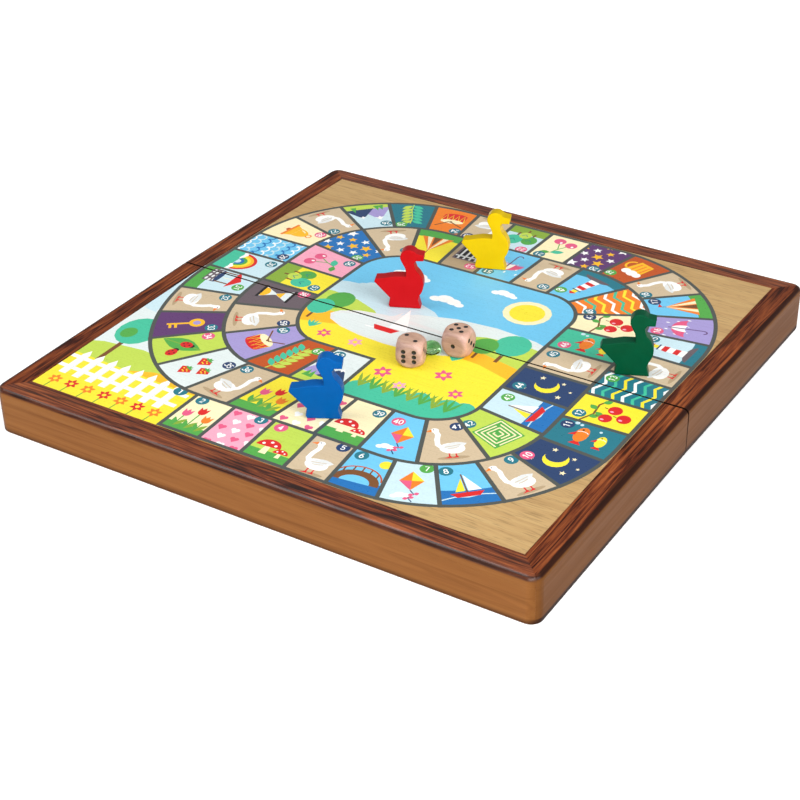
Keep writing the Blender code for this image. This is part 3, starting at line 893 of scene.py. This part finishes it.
def mountains(pen):
    pen.band(0, 0.25, "lime")
    pen.fill([(-1.3, -0.8), (0.5, -0.8), (-0.4, 0.7)], "lilac")
    pen.fill([(-0.35, -0.85), (1.3, -0.85), (0.5, 0.35)], "navy")
    pen.fill([(-0.64, 0.3), (-0.4, 0.7), (-0.16, 0.3), (-0.3, 0.38), (-0.42, 0.22), (-0.52, 0.36)], "white")
    pen.fill([(0.33, 0.1), (0.5, 0.35), (0.68, 0.1), (0.56, 0.16), (0.48, 0.02), (0.42, 0.14)], "white")
    for x in (-0.8, -0.55, 0.75):
        pen.fill([(x - 0.17, -1.15), (x + 0.17, -1.15), (x, -0.5)], "green")


def cherries(pen):
    for x, y in ((-0.4, -0.55), (0.35, -0.7)):
        pen.line([(x, y), (0.0, 0.2), (0.18, 0.75)], 0.06, "green")
        pen.oval(x, y, 0.34, 0.33, "rose")
        pen.oval(x - 0.12, y + 0.12, 0.08, 0.1, "white", steps=8)
    pen.leaf(0.18, 0.72, 0.75, 0.2, -150, "jade")
    pen.leaf(0.18, 0.72, 0.6, 0.18, 20, "green")


def rainbow(pen):
    pen.band(0, 0.28, "jade")
    bands = (0.95, "red"), (0.8, "gold"), (0.65, "yellow"), (0.5, "green"), (0.35, "blue"), (0.2, "pale")
    for reach, colour in bands:
        pen.dome(0, -0.6, reach, reach * 1.2, colour)
    pen.cloud(-0.72, -0.62, 0.24, "white")
    pen.cloud(0.7, -0.62, 0.24, "white")


def stars(pen):
    for row in range(5):
        for column in range(3):
            x = -0.8 + column * 0.8 + (0.4 if row % 2 else 0)
            size = 0.26 if (row + column) % 3 else 0.36
            colour = "gold" if (row + column) % 2 else "white"
            pen.star(x, -1.4 + row * 0.66, size, colour, 70 + 20 * row)


def tent(pen):
    pen.band(0, 0.24, "green")
    pen.fill([(-0.9, -0.85), (0.9, -0.85), (0, 0.75)], "orange")
    for low, high in ((-0.6, -0.3), (0.3, 0.6)):
        pen.fill([(low, -0.85), (high, -0.85), (0, 0.75)], "cream")
    pen.fill([(-0.22, -0.85), (0.22, -0.85), (0, 0.2)], "brown")
    pen.line([(0, 0.7), (0, 1.1)], 0.05, "brown")
    pen.fill([(0, 1.12), (0.34, 1.0), (0, 0.9)], "red")


def drum(pen):
    pen.oval(0, -0.6, 0.66, 0.26, "red")
    pen.box(-0.66, -0.6, 0.66, 0.15, "red")
    for index in range(4):
        x = -0.66 + 0.33 * index
        pen.line([(x, 0.1), (x + 0.165, -0.7), (x + 0.33, 0.1)], 0.05, "yellow")
    pen.oval(0, 0.15, 0.66, 0.24, "cream")
    pen.line([(-0.75, 0.75), (0.05, 0.2)], 0.08, "brown")
    pen.line([(0.75, 0.85), (0.15, 0.18)], 0.08, "brown")
    pen.disc(0.05, 0.2, 0.09, "brown", 8)


def chevrons(pen):
    for index in range(7):
        y = -1.7 + index * 0.5
        colour = ("white", "yellow", "jade")[index % 3]
        pen.line([(-1.3, y), (-0.65, y + 0.3), (0, y), (0.65, y + 0.3), (1.3, y)], 0.16, colour)


def tulips(pen):
    pen.band(0, 0.2, "green")
    for x, y, colour in ((-0.55, 0.05, "rose"), (0.05, 0.45, "red"), (0.6, -0.05, "orange")):
        pen.line([(x, y), (x, -1.1)], 0.07, "green")
        pen.leaf(x, -1.1, 0.8, 0.12, 65, "moss")
        pen.leaf(x, -1.1, 0.7, 0.12, 112, "green")
        pen.oval(x, y, 0.23, 0.28, colour, 0, 180, 360)
        pen.fill([(x - 0.23, y), (x + 0.23, y), (x + 0.24, y + 0.3), (x + 0.1, y + 0.14), (x, y + 0.34),
                  (x - 0.1, y + 0.14), (x - 0.24, y + 0.3)], colour)


def key(pen):
    for reach, colour in ((0.4, "gold"), (0.2, "lilac")):
        pen.disc(0, 0.5, reach, colour)
    pen.line([(0, 0.12), (0, -1.0)], 0.15, "gold")
    for y in (-0.62, -0.9):
        pen.box(0.06, y, 0.4, y + 0.14, "gold")


def ladybirds(pen):
    pen.leaf(-1.1, -0.9, 2.3, 0.55, 40, "green")
    pen.line([(-1.0, -0.8), (0.6, 0.55)], 0.06, "moss")
    for x, y, turn in ((-0.1, 0.05, 40), (0.35, -0.8, 120)):
        head_x, head_y = turned([(0.3, 0)], x, y, turn)[0]
        pen.disc(head_x, head_y, 0.16, "black")
        pen.oval(x, y, 0.34, 0.27, "red", turn)
        for dx, dy in ((0.1, 0.12), (0.1, -0.12), (-0.15, 0.1), (-0.15, -0.1)):
            pen.disc(x + dx, y + dy, 0.05, "black", 8)


def waves(pen):
    for row in range(7):
        y = -1.5 + row * 0.46
        colour = ("white", "pale", "blue")[row % 3]
        for column in range(5):
            x = -1.1 + column * 0.55 + (0.27 if row % 2 else 0)
            pen.line(curve(x, y, 0.25, 0.22, 200, -20, 6), 0.09, colour)


def strawberries(pen):
    for x, y, size in ((-0.35, 0.35, 0.4), (0.4, -0.1, 0.36), (-0.25, -0.75, 0.38)):
        pen.fill([(x - size, y + 0.1), (x - 0.6 * size, y + 0.7 * size), (x + 0.6 * size, y + 0.7 * size),
                  (x + size, y + 0.1), (x, y - size)], "red")
        for turn in (20, 70, 110, 160):
            pen.leaf(x, y + 0.55 * size, 0.7 * size, 0.16 * size, turn, "green", 4)
        for dx, dy in ((-0.4, 0.2), (0.1, 0.3), (0.45, 0.15), (-0.1, -0.2), (0.2, -0.25)):
            pen.disc(x + dx * size, y + dy * size, 0.05, "yellow", 6)


def bridge(pen):
    pen.band(0, 0.3, "blue")
    pen.disc(0.75, 0.95, 0.3, "yellow")
    pen.dome(0, -0.75, 1.15, 0.9, "brown")
    pen.dome(0, -0.75, 0.72, 0.52, "sky")
    for x in (-0.8, -0.4, 0, 0.4, 0.8):
        top = -0.75 + 0.9 * math.sqrt(max(0.0, 1 - (x / 1.15) ** 2))
        pen.line([(x, top - 0.05), (x, top + 0.3)], 0.08, "brown")
    pen.line(curve(0, -0.5, 1.15, 0.95, 10, 170, 10), 0.08, "rust")


def inn(pen):
    pen.fill([(-0.5, -0.9), (0.4, -0.9), (0.5, 0.3), (-0.6, 0.3)], "gold")
    pen.line(curve(0.48, -0.3, 0.34, 0.4, -80, 80, 8), 0.13, "gold")
    for x in (-0.38, -0.1, 0.18):
        pen.line([(x, -0.75), (x, 0.1)], 0.1, "orange")
    for x, size in ((-0.5, 0.24), (-0.15, 0.3), (0.25, 0.26)):
        pen.disc(x, 0.38, size, "white")


def well(pen):
    pen.band(0, 0.25, "green")
    pen.box(-0.62, -1.0, 0.62, -0.3, "dusk")
    for row, shift in ((-0.85, 0.0), (-0.62, 0.2), (-0.4, 0.0)):
        for index in range(3):
            pen.oval(-0.4 + 0.4 * index + shift * 0.5, row, 0.15, 0.08, "pearl", steps=8)
    pen.oval(0, -0.3, 0.62, 0.16, "navy")
    for x in (-0.5, 0.5):
        pen.line([(x, -0.3), (x, 0.6)], 0.1, "brown")
    pen.fill([(-0.85, 0.5), (0.85, 0.5), (0, 1.05)], "red")
    pen.line([(0, 0.5), (0, -0.05)], 0.05, "cream")


def maze(pen):
    pen.box(-0.85, -1.05, 0.85, 0.65, "green")
    for index in range(4):
        reach = 0.74 - index * 0.19
        x, y = 0, -0.2
        wall = [(x - reach, y - reach), (x - reach, y + reach), (x + reach, y + reach),
                (x + reach, y - reach), (x - reach + 0.22, y - reach)]
        if index % 2:
            wall = [(2 * x - a, 2 * y - b) for a, b in wall]
        for a, b in zip(wall, wall[1:]):
            pen.line([a, b], 0.08, "cream")


def prison(pen):
    pen.box(-0.8, -1.15, 0.8, 0.75, "dusk")
    pen.box(-0.68, -1.0, 0.68, 0.62, "black")
    for x in (-0.5, -0.17, 0.17, 0.5):
        pen.line([(x, -1.05), (x, 0.66)], 0.12, "pearl")
    for y in (-0.75, 0.35):
        pen.line([(-0.75, y), (0.75, y)], 0.12, "pearl")


def hourglass(pen):
    for y in (-1.0, 0.7):
        pen.box(-0.6, y, 0.6, y + 0.16, "black")
    pen.fill([(-0.5, 0.7), (0.5, 0.7), (0.06, -0.07), (-0.06, -0.07)], "mist")
    pen.fill([(-0.5, -0.84), (0.5, -0.84), (0.06, -0.07), (-0.06, -0.07)], "mist")
    pen.fill([(-0.28, 0.32), (0.28, 0.32), (0.05, -0.05), (-0.05, -0.05)], "gold")
    pen.dome(0, -0.84, 0.44, 0.4, "gold")


# Special spaces with their grounds, and the pictures of the other spaces with two grounds that take turns
SPECIAL_SPACES = {
    6: (bridge, "sky"),
    19: (inn, "rust"),
    31: (well, "pale"),
    42: (maze, "lime"),
    52: (prison, "beige_dark"),
    58: (hourglass, "dusk"),
}
PICTURES = (
    (tulips, "cream", "yellow"), (hearts, "pink", "cream"), (mushrooms, "lime", "cream"),
    (kite, "pale", "sky"), (boat, "sky", "pale"), (night, "navy", "navy"), (fish, "teal", "jade"),
    (apples, "yellow", "cream"), (chevrons, "teal", "orange"), (lighthouse, "pale", "sky"),
    (umbrella, "lilac", "sky"),
    (tent, "sky", "yellow"), (stars, "plum", "blue"), (cherries, "cream", "pink"), (trees, "pale", "yellow"),
    (drum, "orange", "lilac"), (sprig, "teal", "rust"), (mountains, "pale", "mist"), (bell, "cream", "pink"),
    (waves, "sky", "jade"), (rainbow, "pale", "sky"), (key, "plum", "teal"), (ladybirds, "lime", "yellow"),
    (strawberries, "mist", "lime"),
)


def draw_track(sheet):
    ends = space_ends()
    spans = list(zip(ends, ends[1:]))
    for first, last in spans:
        sheet.add(space_outline(first, last, -LINE_HALF_WIDTH), INK["line"])
    plain = 0
    for index, (first, last) in enumerate(spans):
        number = FIRST_SPACE + index
        if number in GOOSE_SPACES:
            picture, ground = goose, "beige"
        elif number in SPECIAL_SPACES:
            picture, ground = SPECIAL_SPACES[number]
        else:
            turn, which = divmod(plain, len(PICTURES))
            picture, *grounds = PICTURES[which]
            ground = grounds[turn % 2]
            plain += 1
        clip = sheet.add(space_outline(first, last, LINE_HALF_WIDTH), INK[ground])
        middle = (first + last) / 2
        up = inward(middle)
        mirror = -1 if number % 2 and picture is goose else 1
        picture(Pen(sheet, lane_point(middle, PICTURE_DEPTH), up, PICTURE_UNIT, clip, mirror, (first, last)))
        badge = Pen(sheet, lane_point(middle, BADGE_DEPTH), up, BADGE_UNIT, clip)
        side = BADGE_SIDE if number % 2 else -BADGE_SIDE
        badge.disc(side, BADGE_RISE, BADGE_RADIUS, DISCS[index % len(DISCS)])
        badge.number(number, side, BADGE_RISE, BADGE_NUMBER, "white")


def draw_middle(sheet):
    """A lake among hills, in millimetres: the winning place in the middle of the track."""
    pen = Pen(sheet, Vector((0, 0)), Vector((0, 1)), 1.0)
    pen.box(-90, -95, 90, 95, "sky")
    pen.disc(46, 52, 15, "cream")
    pen.disc(46, 52, 11, "yellow")
    for x, y, size in ((-40, 58, 9), (-4, 40, 8), (22, 66, 6)):
        pen.cloud(x, y, size, "white")
    pen.cloud(-52, 32, 7, "pale")
    pen.oval(-46, 0, 62, 34, "pale")
    pen.oval(40, -8, 70, 34, "mist")
    pen.oval(-70, -14, 50, 30, "lime")
    pen.oval(62, -22, 58, 38, "lime")
    pen.oval(0, -36, 110, 36, "gold")
    pen.oval(6, -64, 120, 52, "yellow")
    pen.oval(-8, -8, 48, 15, "pearl")
    pen.oval(-8, -9, 45, 12.5, "mist")
    for x, y in ((-30, -10), (-10, -4), (12, -12), (24, -6)):
        pen.line([(x, y), (x + 8, y + 0.6)], 0.8, "white")
    pen.fill([(-26, -6), (-8, -6), (-11, -11), (-23, -11)], "red")
    pen.fill([(-16, -5), (-16, 19), (-4, -5)], "white")
    pen.fill([(-18, -5), (-18, 14), (-26, -5)], "pearl")
    for x, y, size, colour in ((58, 12, 11, "jade"), (44, 4, 8, "green"), (-60, 8, 9, "green"),
                               (-66, -4, 8, "jade")):
        pen.line([(x, y), (x, y - size * 1.9)], size * 0.22, "brown")
        pen.oval(x, y, size, size * 1.15, colour)
    for index in range(9):
        x = -4 + 9 * index
        pen.oval(x, -78 + 3 * (index % 2) + 0.002 * x * x, 9, 10 + 2 * (index % 3), "jade")
    for index in range(8):
        x = 4 + 8 * index
        for turn in (70, 92, 112):
            pen.leaf(x, -70, 15, 1.1, turn, "green" if index % 2 else "moss", 4)
    for x, y, size in ((40, -36, 6), (56, -50, 5), (8, -50, 6), (-24, -30, 5), (24, -58, 4.5), (-46, -30, 5)):
        pen.flower(x, y, size, "rose" if x % 3 else "pink", "yellow")
    for x, y in ((-58, -28), (36, -20), (16, -34)):
        for turn in (60, 80, 100, 122):
            pen.leaf(x, y, 9, 0.9, turn, "jade", 4)


def draw_start(sheet):
    """A meadow behind a fence, in millimetres: the corner where the track begins."""
    pen = Pen(sheet, Vector(START_CORNER), Vector((0, 1)), 1.0)
    pen.box(-60, -80, 60, 95, "mist")
    pen.oval(-20, 60, 60, 30, "pale")
    pen.cloud(-26, 34, 8, "white")
    pen.cloud(0, 8, 6, "white")
    pen.oval(-14, -50, 70, 42, "lime")
    pen.oval(30, -58, 60, 36, "gold")
    pen.fill([(-60, -80), (60, -80), (60, -34), (-60, -28)], "yellow")
    pen.line([(-31, -30), (-31, 0)], 3.0, "brown")
    pen.oval(-31, 8, 13, 16, "jade")
    pen.oval(-35, 4, 5, 6, "green")
    for y in (-32, -43):
        pen.line([(-60, y), (40, y - 4)], 3.2, "white")
    for index in range(8):
        x = -42 + 10 * index
        y = -51 - 0.35 * index
        pen.fill([(x, y), (x + 5, y), (x + 5, y + 22), (x + 2.5, y + 27), (x, y + 22)], "white")
        pen.line([(x + 4.4, y + 0.5), (x + 4.4, y + 22)], 0.8, "pearl")
    for index in range(7):
        x = -38 + 12 * index
        pen.line([(x, -60), (x - 1, -70)], 0.9, "moss")
        pen.flower(x, -58, 4.6, "red" if index % 2 else "orange", "yellow", 30)
    pen.disc(33, -33, 4.4, "teal")
    pen.number(1, 33, -33, 5.0, "white")


def build_print(looks):
    """Turn the painted shapes into one thin inked sheet for each half."""
    sheet = Sheet()
    draw_start(sheet)
    draw_middle(sheet)
    draw_track(sheet)
    ink = printed_ink()
    for half, low, high in (("front", -SHEET_REACH, -SEAM_HALF_GAP), ("rear", SEAM_HALF_GAP, SHEET_REACH)):
        edge = [(-SHEET_REACH, low), (SHEET_REACH, low), (SHEET_REACH, high), (-SHEET_REACH, high)]
        points, faces, numbers = [Vector(p) for p in edge], [[0, 1, 2, 3]], [-1]
        for number, (outline, _, _) in enumerate(sheet.shapes):
            if max(p.y for p in outline) <= low or min(p.y for p in outline) >= high:
                continue
            faces.append(list(range(len(points), len(points) + len(outline))))
            points += outline
            numbers.append(number)
        made, _, triangles, _, _, owners = delaunay_2d_cdt(points, [], faces, INSIDE_FACES, INK_WELD, True)
        tops = [top_shape(sheet, {numbers[owner] for owner in over}) for over in owners]
        build_sheet(half, sheet, made, zip(triangles, tops), (ink, looks[f"{half}_panel"]))


def top_shape(sheet, found):
    """The number of the uppermost of the shapes over a triangle, -1 for bare veneer, None off the sheet."""
    if -1 not in found:
        return None
    for number in sorted(found, reverse=True):
        clip = None if number < 0 else sheet.shapes[number][2]
        if clip is None or clip in found:
            return number


def build_sheet(half, sheet, points, pieces, materials):
    bm = bmesh.new()
    tint = bm.loops.layers.float_color.new("ink")

    def add_face(corners, look, colour):
        face = bm.faces.new(corners)
        face.material_index = look
        for loop in face.loops:
            loop[tint] = colour

    floor = PANEL_TOP + SHEET_LIFT
    low, high = [[bm.verts.new((p.x, p.y, floor + lift)) for p in points] for lift in (0.0, SHEET_THICKNESS)]
    edges = {}
    for triangle, number in pieces:
        if number is None:
            continue
        inked = number >= 0
        colour = linear(sheet.shapes[number][1] if inked else BARE_VENEER)
        look = 0 if inked else 1
        add_face([high[i] for i in triangle], look, colour)
        add_face([low[i] for i in triangle[::-1]], look, colour)
        for a, b in zip(triangle, triangle[1:] + triangle[:1]):
            edges[(a, b)] = colour
    for (a, b), colour in edges.items():
        if (b, a) not in edges:
            add_face([low[a], low[b], high[b], high[a]], 1, colour)
    bmesh.ops.delete(bm, geom=[v for v in bm.verts if not v.link_faces], context="VERTS")
    bmesh.ops.transform(bm, matrix=HALF_FRAMES[half], verts=bm.verts)
    piece = mesh_object(f"{half}_print", bm, materials)
    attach(piece, f"{half}_half")


# Glue lines that close the joints of the frame

def quarter_turn():
    """Cosines and sines round a quarter of a circle."""
    angles = [math.pi / 2 * index / ROUND_STEPS for index in range(ROUND_STEPS + 1)]
    return [(math.cos(angle), math.sin(angle)) for angle in angles]


def radial_profile(inner, bottom, top, rounding):
    """Section of a mitre joint: distance from the corner's centre, and height."""
    reach = CORNER_RADIUS - GLUE_INSET
    outer = [(reach, top)]
    if rounding:
        outer = [(reach - rounding * (1 - c), top - rounding * (1 - s)) for c, s in quarter_turn()]
    return [(inner, bottom), (reach, bottom)] + outer + [(inner, top)]


def add_plate(bm, points, place, look):
    """A thin plate of a flat outline, moved to its place."""
    sides = [[bm.verts.new(place @ Vector((x, depth, z))) for x, z in points]
             for depth in (-GLUE_SHEET / 2, GLUE_SHEET / 2)]
    faces = [bm.faces.new(sides[0]), bm.faces.new(sides[1][::-1])]
    for index in range(len(points)):
        after = (index + 1) % len(points)
        faces.append(bm.faces.new((sides[0][after], sides[0][index], sides[1][index], sides[1][after])))
    for face in faces:
        face.material_index = look


def add_bed(bm, side):
    """The bed of glue between the walls and the rails, a thin strip round three sides."""
    middle = HALF_WIDTH - CORNER_RADIUS
    rows = []
    for inset in (GLUE_INSET, GLUE_BED_WIDTH):
        radius = CORNER_RADIUS - inset
        run = [(HALF_WIDTH - inset, SEAM_HALF_GAP + GLUE_INSET)]
        run += [(middle + radius * c, middle + radius * s) for c, s in quarter_turn()]
        run += [(-x, y) for x, y in reversed(run)]
        for z in (WALL_TOP + GLUE_INSET, RAIL_FOOT - GLUE_INSET):
            rows.append([bm.verts.new((x, side * y, z)) for x, y in run])
    loop = (rows[0], rows[1], rows[3], rows[2])
    for lower, upper in zip(loop, loop[1:] + loop[:1]):
        for index in range(len(lower) - 1):
            bm.faces.new((lower[index], lower[index + 1], upper[index + 1], upper[index]))
    for end in (0, -1):
        bm.faces.new([row[end] for row in loop])


def build_glue(looks):
    middle = HALF_WIDTH - CORNER_RADIUS
    wall_inner = (CORNER_RADIUS - WALL_THICKNESS) * math.sqrt(2)
    rail_inner = (CORNER_RADIUS - RAIL_WIDTH) * math.sqrt(2)
    wall = radial_profile(wall_inner, RIM + GLUE_FOOT, WALL_TOP, 0.0)
    rail = radial_profile(rail_inner, RAIL_FOOT, RAIL_TOP - GLUE_INSET, ROUND_OVER)
    for half, side in (("front", -1), ("rear", 1)):
        bm = bmesh.new()
        add_bed(bm, side)
        for hand in (-1, 1):
            turn = Matrix.Rotation(math.atan2(side, hand), 4, "Z")
            place = Matrix.Translation((hand * middle, side * middle, 0)) @ turn
            for look, profile in enumerate((wall, rail)):
                add_plate(bm, profile, place, look)
        bmesh.ops.recalc_face_normals(bm, faces=bm.faces)
        bmesh.ops.transform(bm, matrix=HALF_FRAMES[half], verts=bm.verts)
        piece = mesh_object(f"{half}_glue_lines", bm, (looks[f"{half}_wall_x"], looks[f"{half}_rail_x"]))
        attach(piece, f"{half}_half")


# Dice and glass counter

def die_faces():
    """Pip places of each face with the axes that span it; opposite faces add up to seven."""
    s = PIP_STEP
    corners = [(-s, -s), (-s, s), (s, -s), (s, s)]
    x, y, z = Vector((1, 0, 0)), Vector((0, 1, 0)), Vector((0, 0, 1))
    return [
        (-y, x, z, [(0, 0)]),
        (-z, x, y, [(-s, -s), (s, s)]),
        (x, y, z, [(-s, s), (0, 0), (s, -s)]),
        (-x, y, z, corners),
        (z, x, y, corners + [(0, 0)]),
        (y, x, z, corners + [(-s, 0), (s, 0)]),
    ]


def die_body():
    """A cube blended into a ball, gridded on each face."""
    half = DIE_SIZE / 2
    bm = bmesh.new()
    for normal, across, up, _ in die_faces():
        if across.cross(up).dot(normal) < 0:
            across = -across
        rows = []
        for i in range(DIE_GRID + 1):
            row = []
            for j in range(DIE_GRID + 1):
                u, v = (math.tan(math.pi / 4 * (2 * k / DIE_GRID - 1)) for k in (i, j))
                ray = (normal + across * u + up * v).normalized()
                flat = half / max(abs(part) for part in ray)
                soft = sum(math.exp(-DIE_SOFTNESS * (reach - half)) for reach in (flat, DIE_BALL))
                row.append(bm.verts.new(ray * (half - math.log(soft) / DIE_SOFTNESS)))
            rows.append(row)
        for i in range(DIE_GRID):
            for j in range(DIE_GRID):
                bm.faces.new((rows[i][j], rows[i + 1][j], rows[i + 1][j + 1], rows[i][j + 1]))
    bmesh.ops.remove_doubles(bm, verts=bm.verts, dist=DIE_WELD)
    return bm


def pip_drill():
    """A ball for each pip, that cuts a shallow dish of the pip's radius and depth."""
    ball = (PIP_RADIUS ** 2 + PIP_DEPTH ** 2) / (2 * PIP_DEPTH)
    bm = bmesh.new()
    for normal, across, up, pips in die_faces():
        upright = normal.to_track_quat("Z", "Y").to_matrix().to_4x4()
        for u, v in pips:
            centre = normal * (DIE_SIZE / 2 + ball - PIP_DEPTH) + across * u + up * v
            bmesh.ops.create_uvsphere(bm, u_segments=PIP_SEGMENTS, v_segments=PIP_RINGS, radius=ball,
                                      matrix=Matrix.Translation(centre) @ upright)
    for face in bm.faces:
        face.material_index = 1
    return bm


def build_dice():
    looks = (beech(), pip_paint())
    drill = mesh_object("pip_drill", pip_drill(), looks)
    plain = mesh_object("plain_die", die_body(), looks)
    cut = plain.modifiers.new("pips", "BOOLEAN")
    cut.operation = "DIFFERENCE"
    cut.solver = "EXACT"
    cut.object = drill
    bpy.context.view_layer.update()
    drilled = bpy.data.meshes.new_from_object(plain.evaluated_get(bpy.context.evaluated_depsgraph_get()))
    drilled.shade_smooth()
    drilled.set_sharp_from_angle(angle=math.radians(SMOOTH_ANGLE))
    for name, (spot, degrees) in DICE.items():
        stand = Matrix.Translation((*spot, PIECE_REST + DIE_SIZE / 2))
        spin = Matrix.Identity(4)
        for axis, angle in zip("XYZ", degrees):
            spin = Matrix.Rotation(math.radians(angle), 4, axis) @ spin
        mesh = drilled.copy()
        mesh.transform(HALF_FRAMES["front"] @ stand @ spin)
        piece = bpy.data.objects.new(f"{name}_wood", mesh)
        bpy.context.collection.objects.link(piece)
        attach(piece, name)
        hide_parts(name)
    for tool in (plain, drill):
        bpy.data.objects.remove(tool, do_unlink=True)


def build_counter():
    """A poured glass drop, not quite round, with a flat underside."""
    bm = bmesh.new()
    rows = []
    for i in range(1, COUNTER_RINGS):
        angle = math.pi * (i / COUNTER_RINGS - 0.5)
        rise = COUNTER_HEIGHT - COUNTER_BELLY if angle >= 0 else COUNTER_BELLY * COUNTER_FLATTENING
        height = max(COUNTER_BELLY + rise * math.sin(angle), 0.0)
        whole = COUNTER_RADIUS * math.cos(angle) ** COUNTER_FULLNESS
        row = []
        for j in range(COUNTER_SEGMENTS):
            around = math.tau * j / COUNTER_SEGMENTS
            radius = whole
            for depth, lobes, turn in COUNTER_DENTS:
                radius -= depth * whole * (1 + math.sin(lobes * around + turn))
            row.append(bm.verts.new((radius * math.cos(around), radius * math.sin(around), height)))
        rows.append(row)
    for low, high in zip(rows, rows[1:]):
        for j in range(COUNTER_SEGMENTS):
            k = (j + 1) % COUNTER_SEGMENTS
            bm.faces.new((low[j], low[k], high[k], high[j]))
    bm.faces.new(rows[0][::-1])
    bm.faces.new(rows[-1])
    for face in bm.faces:
        face.smooth = True
    stand = Matrix.Translation((*COUNTER_SPOT, PIECE_REST))
    bmesh.ops.transform(bm, matrix=HALF_FRAMES["front"] @ stand, verts=bm.verts)
    piece = mesh_object("glass_drop", bm, (green_glass(),))
    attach(piece, "glass_counter")
    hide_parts("glass_counter")


# Studio

def build_floor():
    bm = bmesh.new()
    bmesh.ops.create_grid(bm, x_segments=1, y_segments=1, size=FLOOR_SIZE)
    look = Finish("studio_floor", specular=0.0)
    look.fill(look.shader, {"Emission Color": (1.0, 1.0, 1.0, 1.0), "Emission Strength": FLOOR_GLOW})
    speck = look.grain((40, 40, 40), 2.0)
    pale = look.finish(look.ramp(speck, [(0.3, (250, 250, 250)), (0.7, (254, 254, 254))]), 0.9)
    mesh_object("studio_floor", bm, (pale,))


def build_lights():
    for name, (place, size, power) in LIGHTS.items():
        light = bpy.data.lights.new(name, "AREA")
        light.shape = "DISK"
        light.size = size
        light.energy = power
        lamp = bpy.data.objects.new(name, light)
        bpy.context.collection.objects.link(lamp)
        lamp.location = place
        lamp.rotation_euler = (-Vector(place)).to_track_quat("-Z", "Y").to_euler()


def build_dome():
    """A grey sky, brightest at the horizon and overhead."""
    world = bpy.data.worlds.new("studio")
    world.use_nodes = True
    nodes = Nodes(world.node_tree)
    rise = nodes.part(nodes.coordinates("Generated"), "Z")
    background = world.node_tree.nodes["Background"]
    nodes.fill(background, {"Color": nodes.ramp(rise, DOME), "Strength": 1.0})
    bpy.context.scene.world = world
    bpy.context.scene.view_settings.view_transform = "Standard"


def build_camera():
    azimuth, elevation = math.radians(VIEW_AZIMUTH), math.radians(VIEW_ELEVATION)
    level = math.cos(elevation)
    back = Vector((math.sin(azimuth) * level, -math.cos(azimuth) * level, math.sin(elevation)))
    camera = bpy.data.cameras.new("camera")
    camera.lens = LENS
    camera.sensor_width = SENSOR
    camera.clip_start = CLIP_START
    eye = bpy.data.objects.new("camera", camera)
    bpy.context.collection.objects.link(eye)
    stand = Matrix.Translation(Vector(VIEW_TARGET) + back * VIEW_DISTANCE)
    look = back.to_track_quat("Z", "Y").to_matrix().to_4x4()
    eye.matrix_world = stand @ look @ Matrix.Rotation(math.radians(VIEW_ROLL), 4, "Z")
    bpy.context.scene.camera = eye


looks = dress_solids()
build_print(looks)
build_glue(looks)
build_dice()
build_counter()
build_floor()
build_lights()
build_dome()
build_camera()
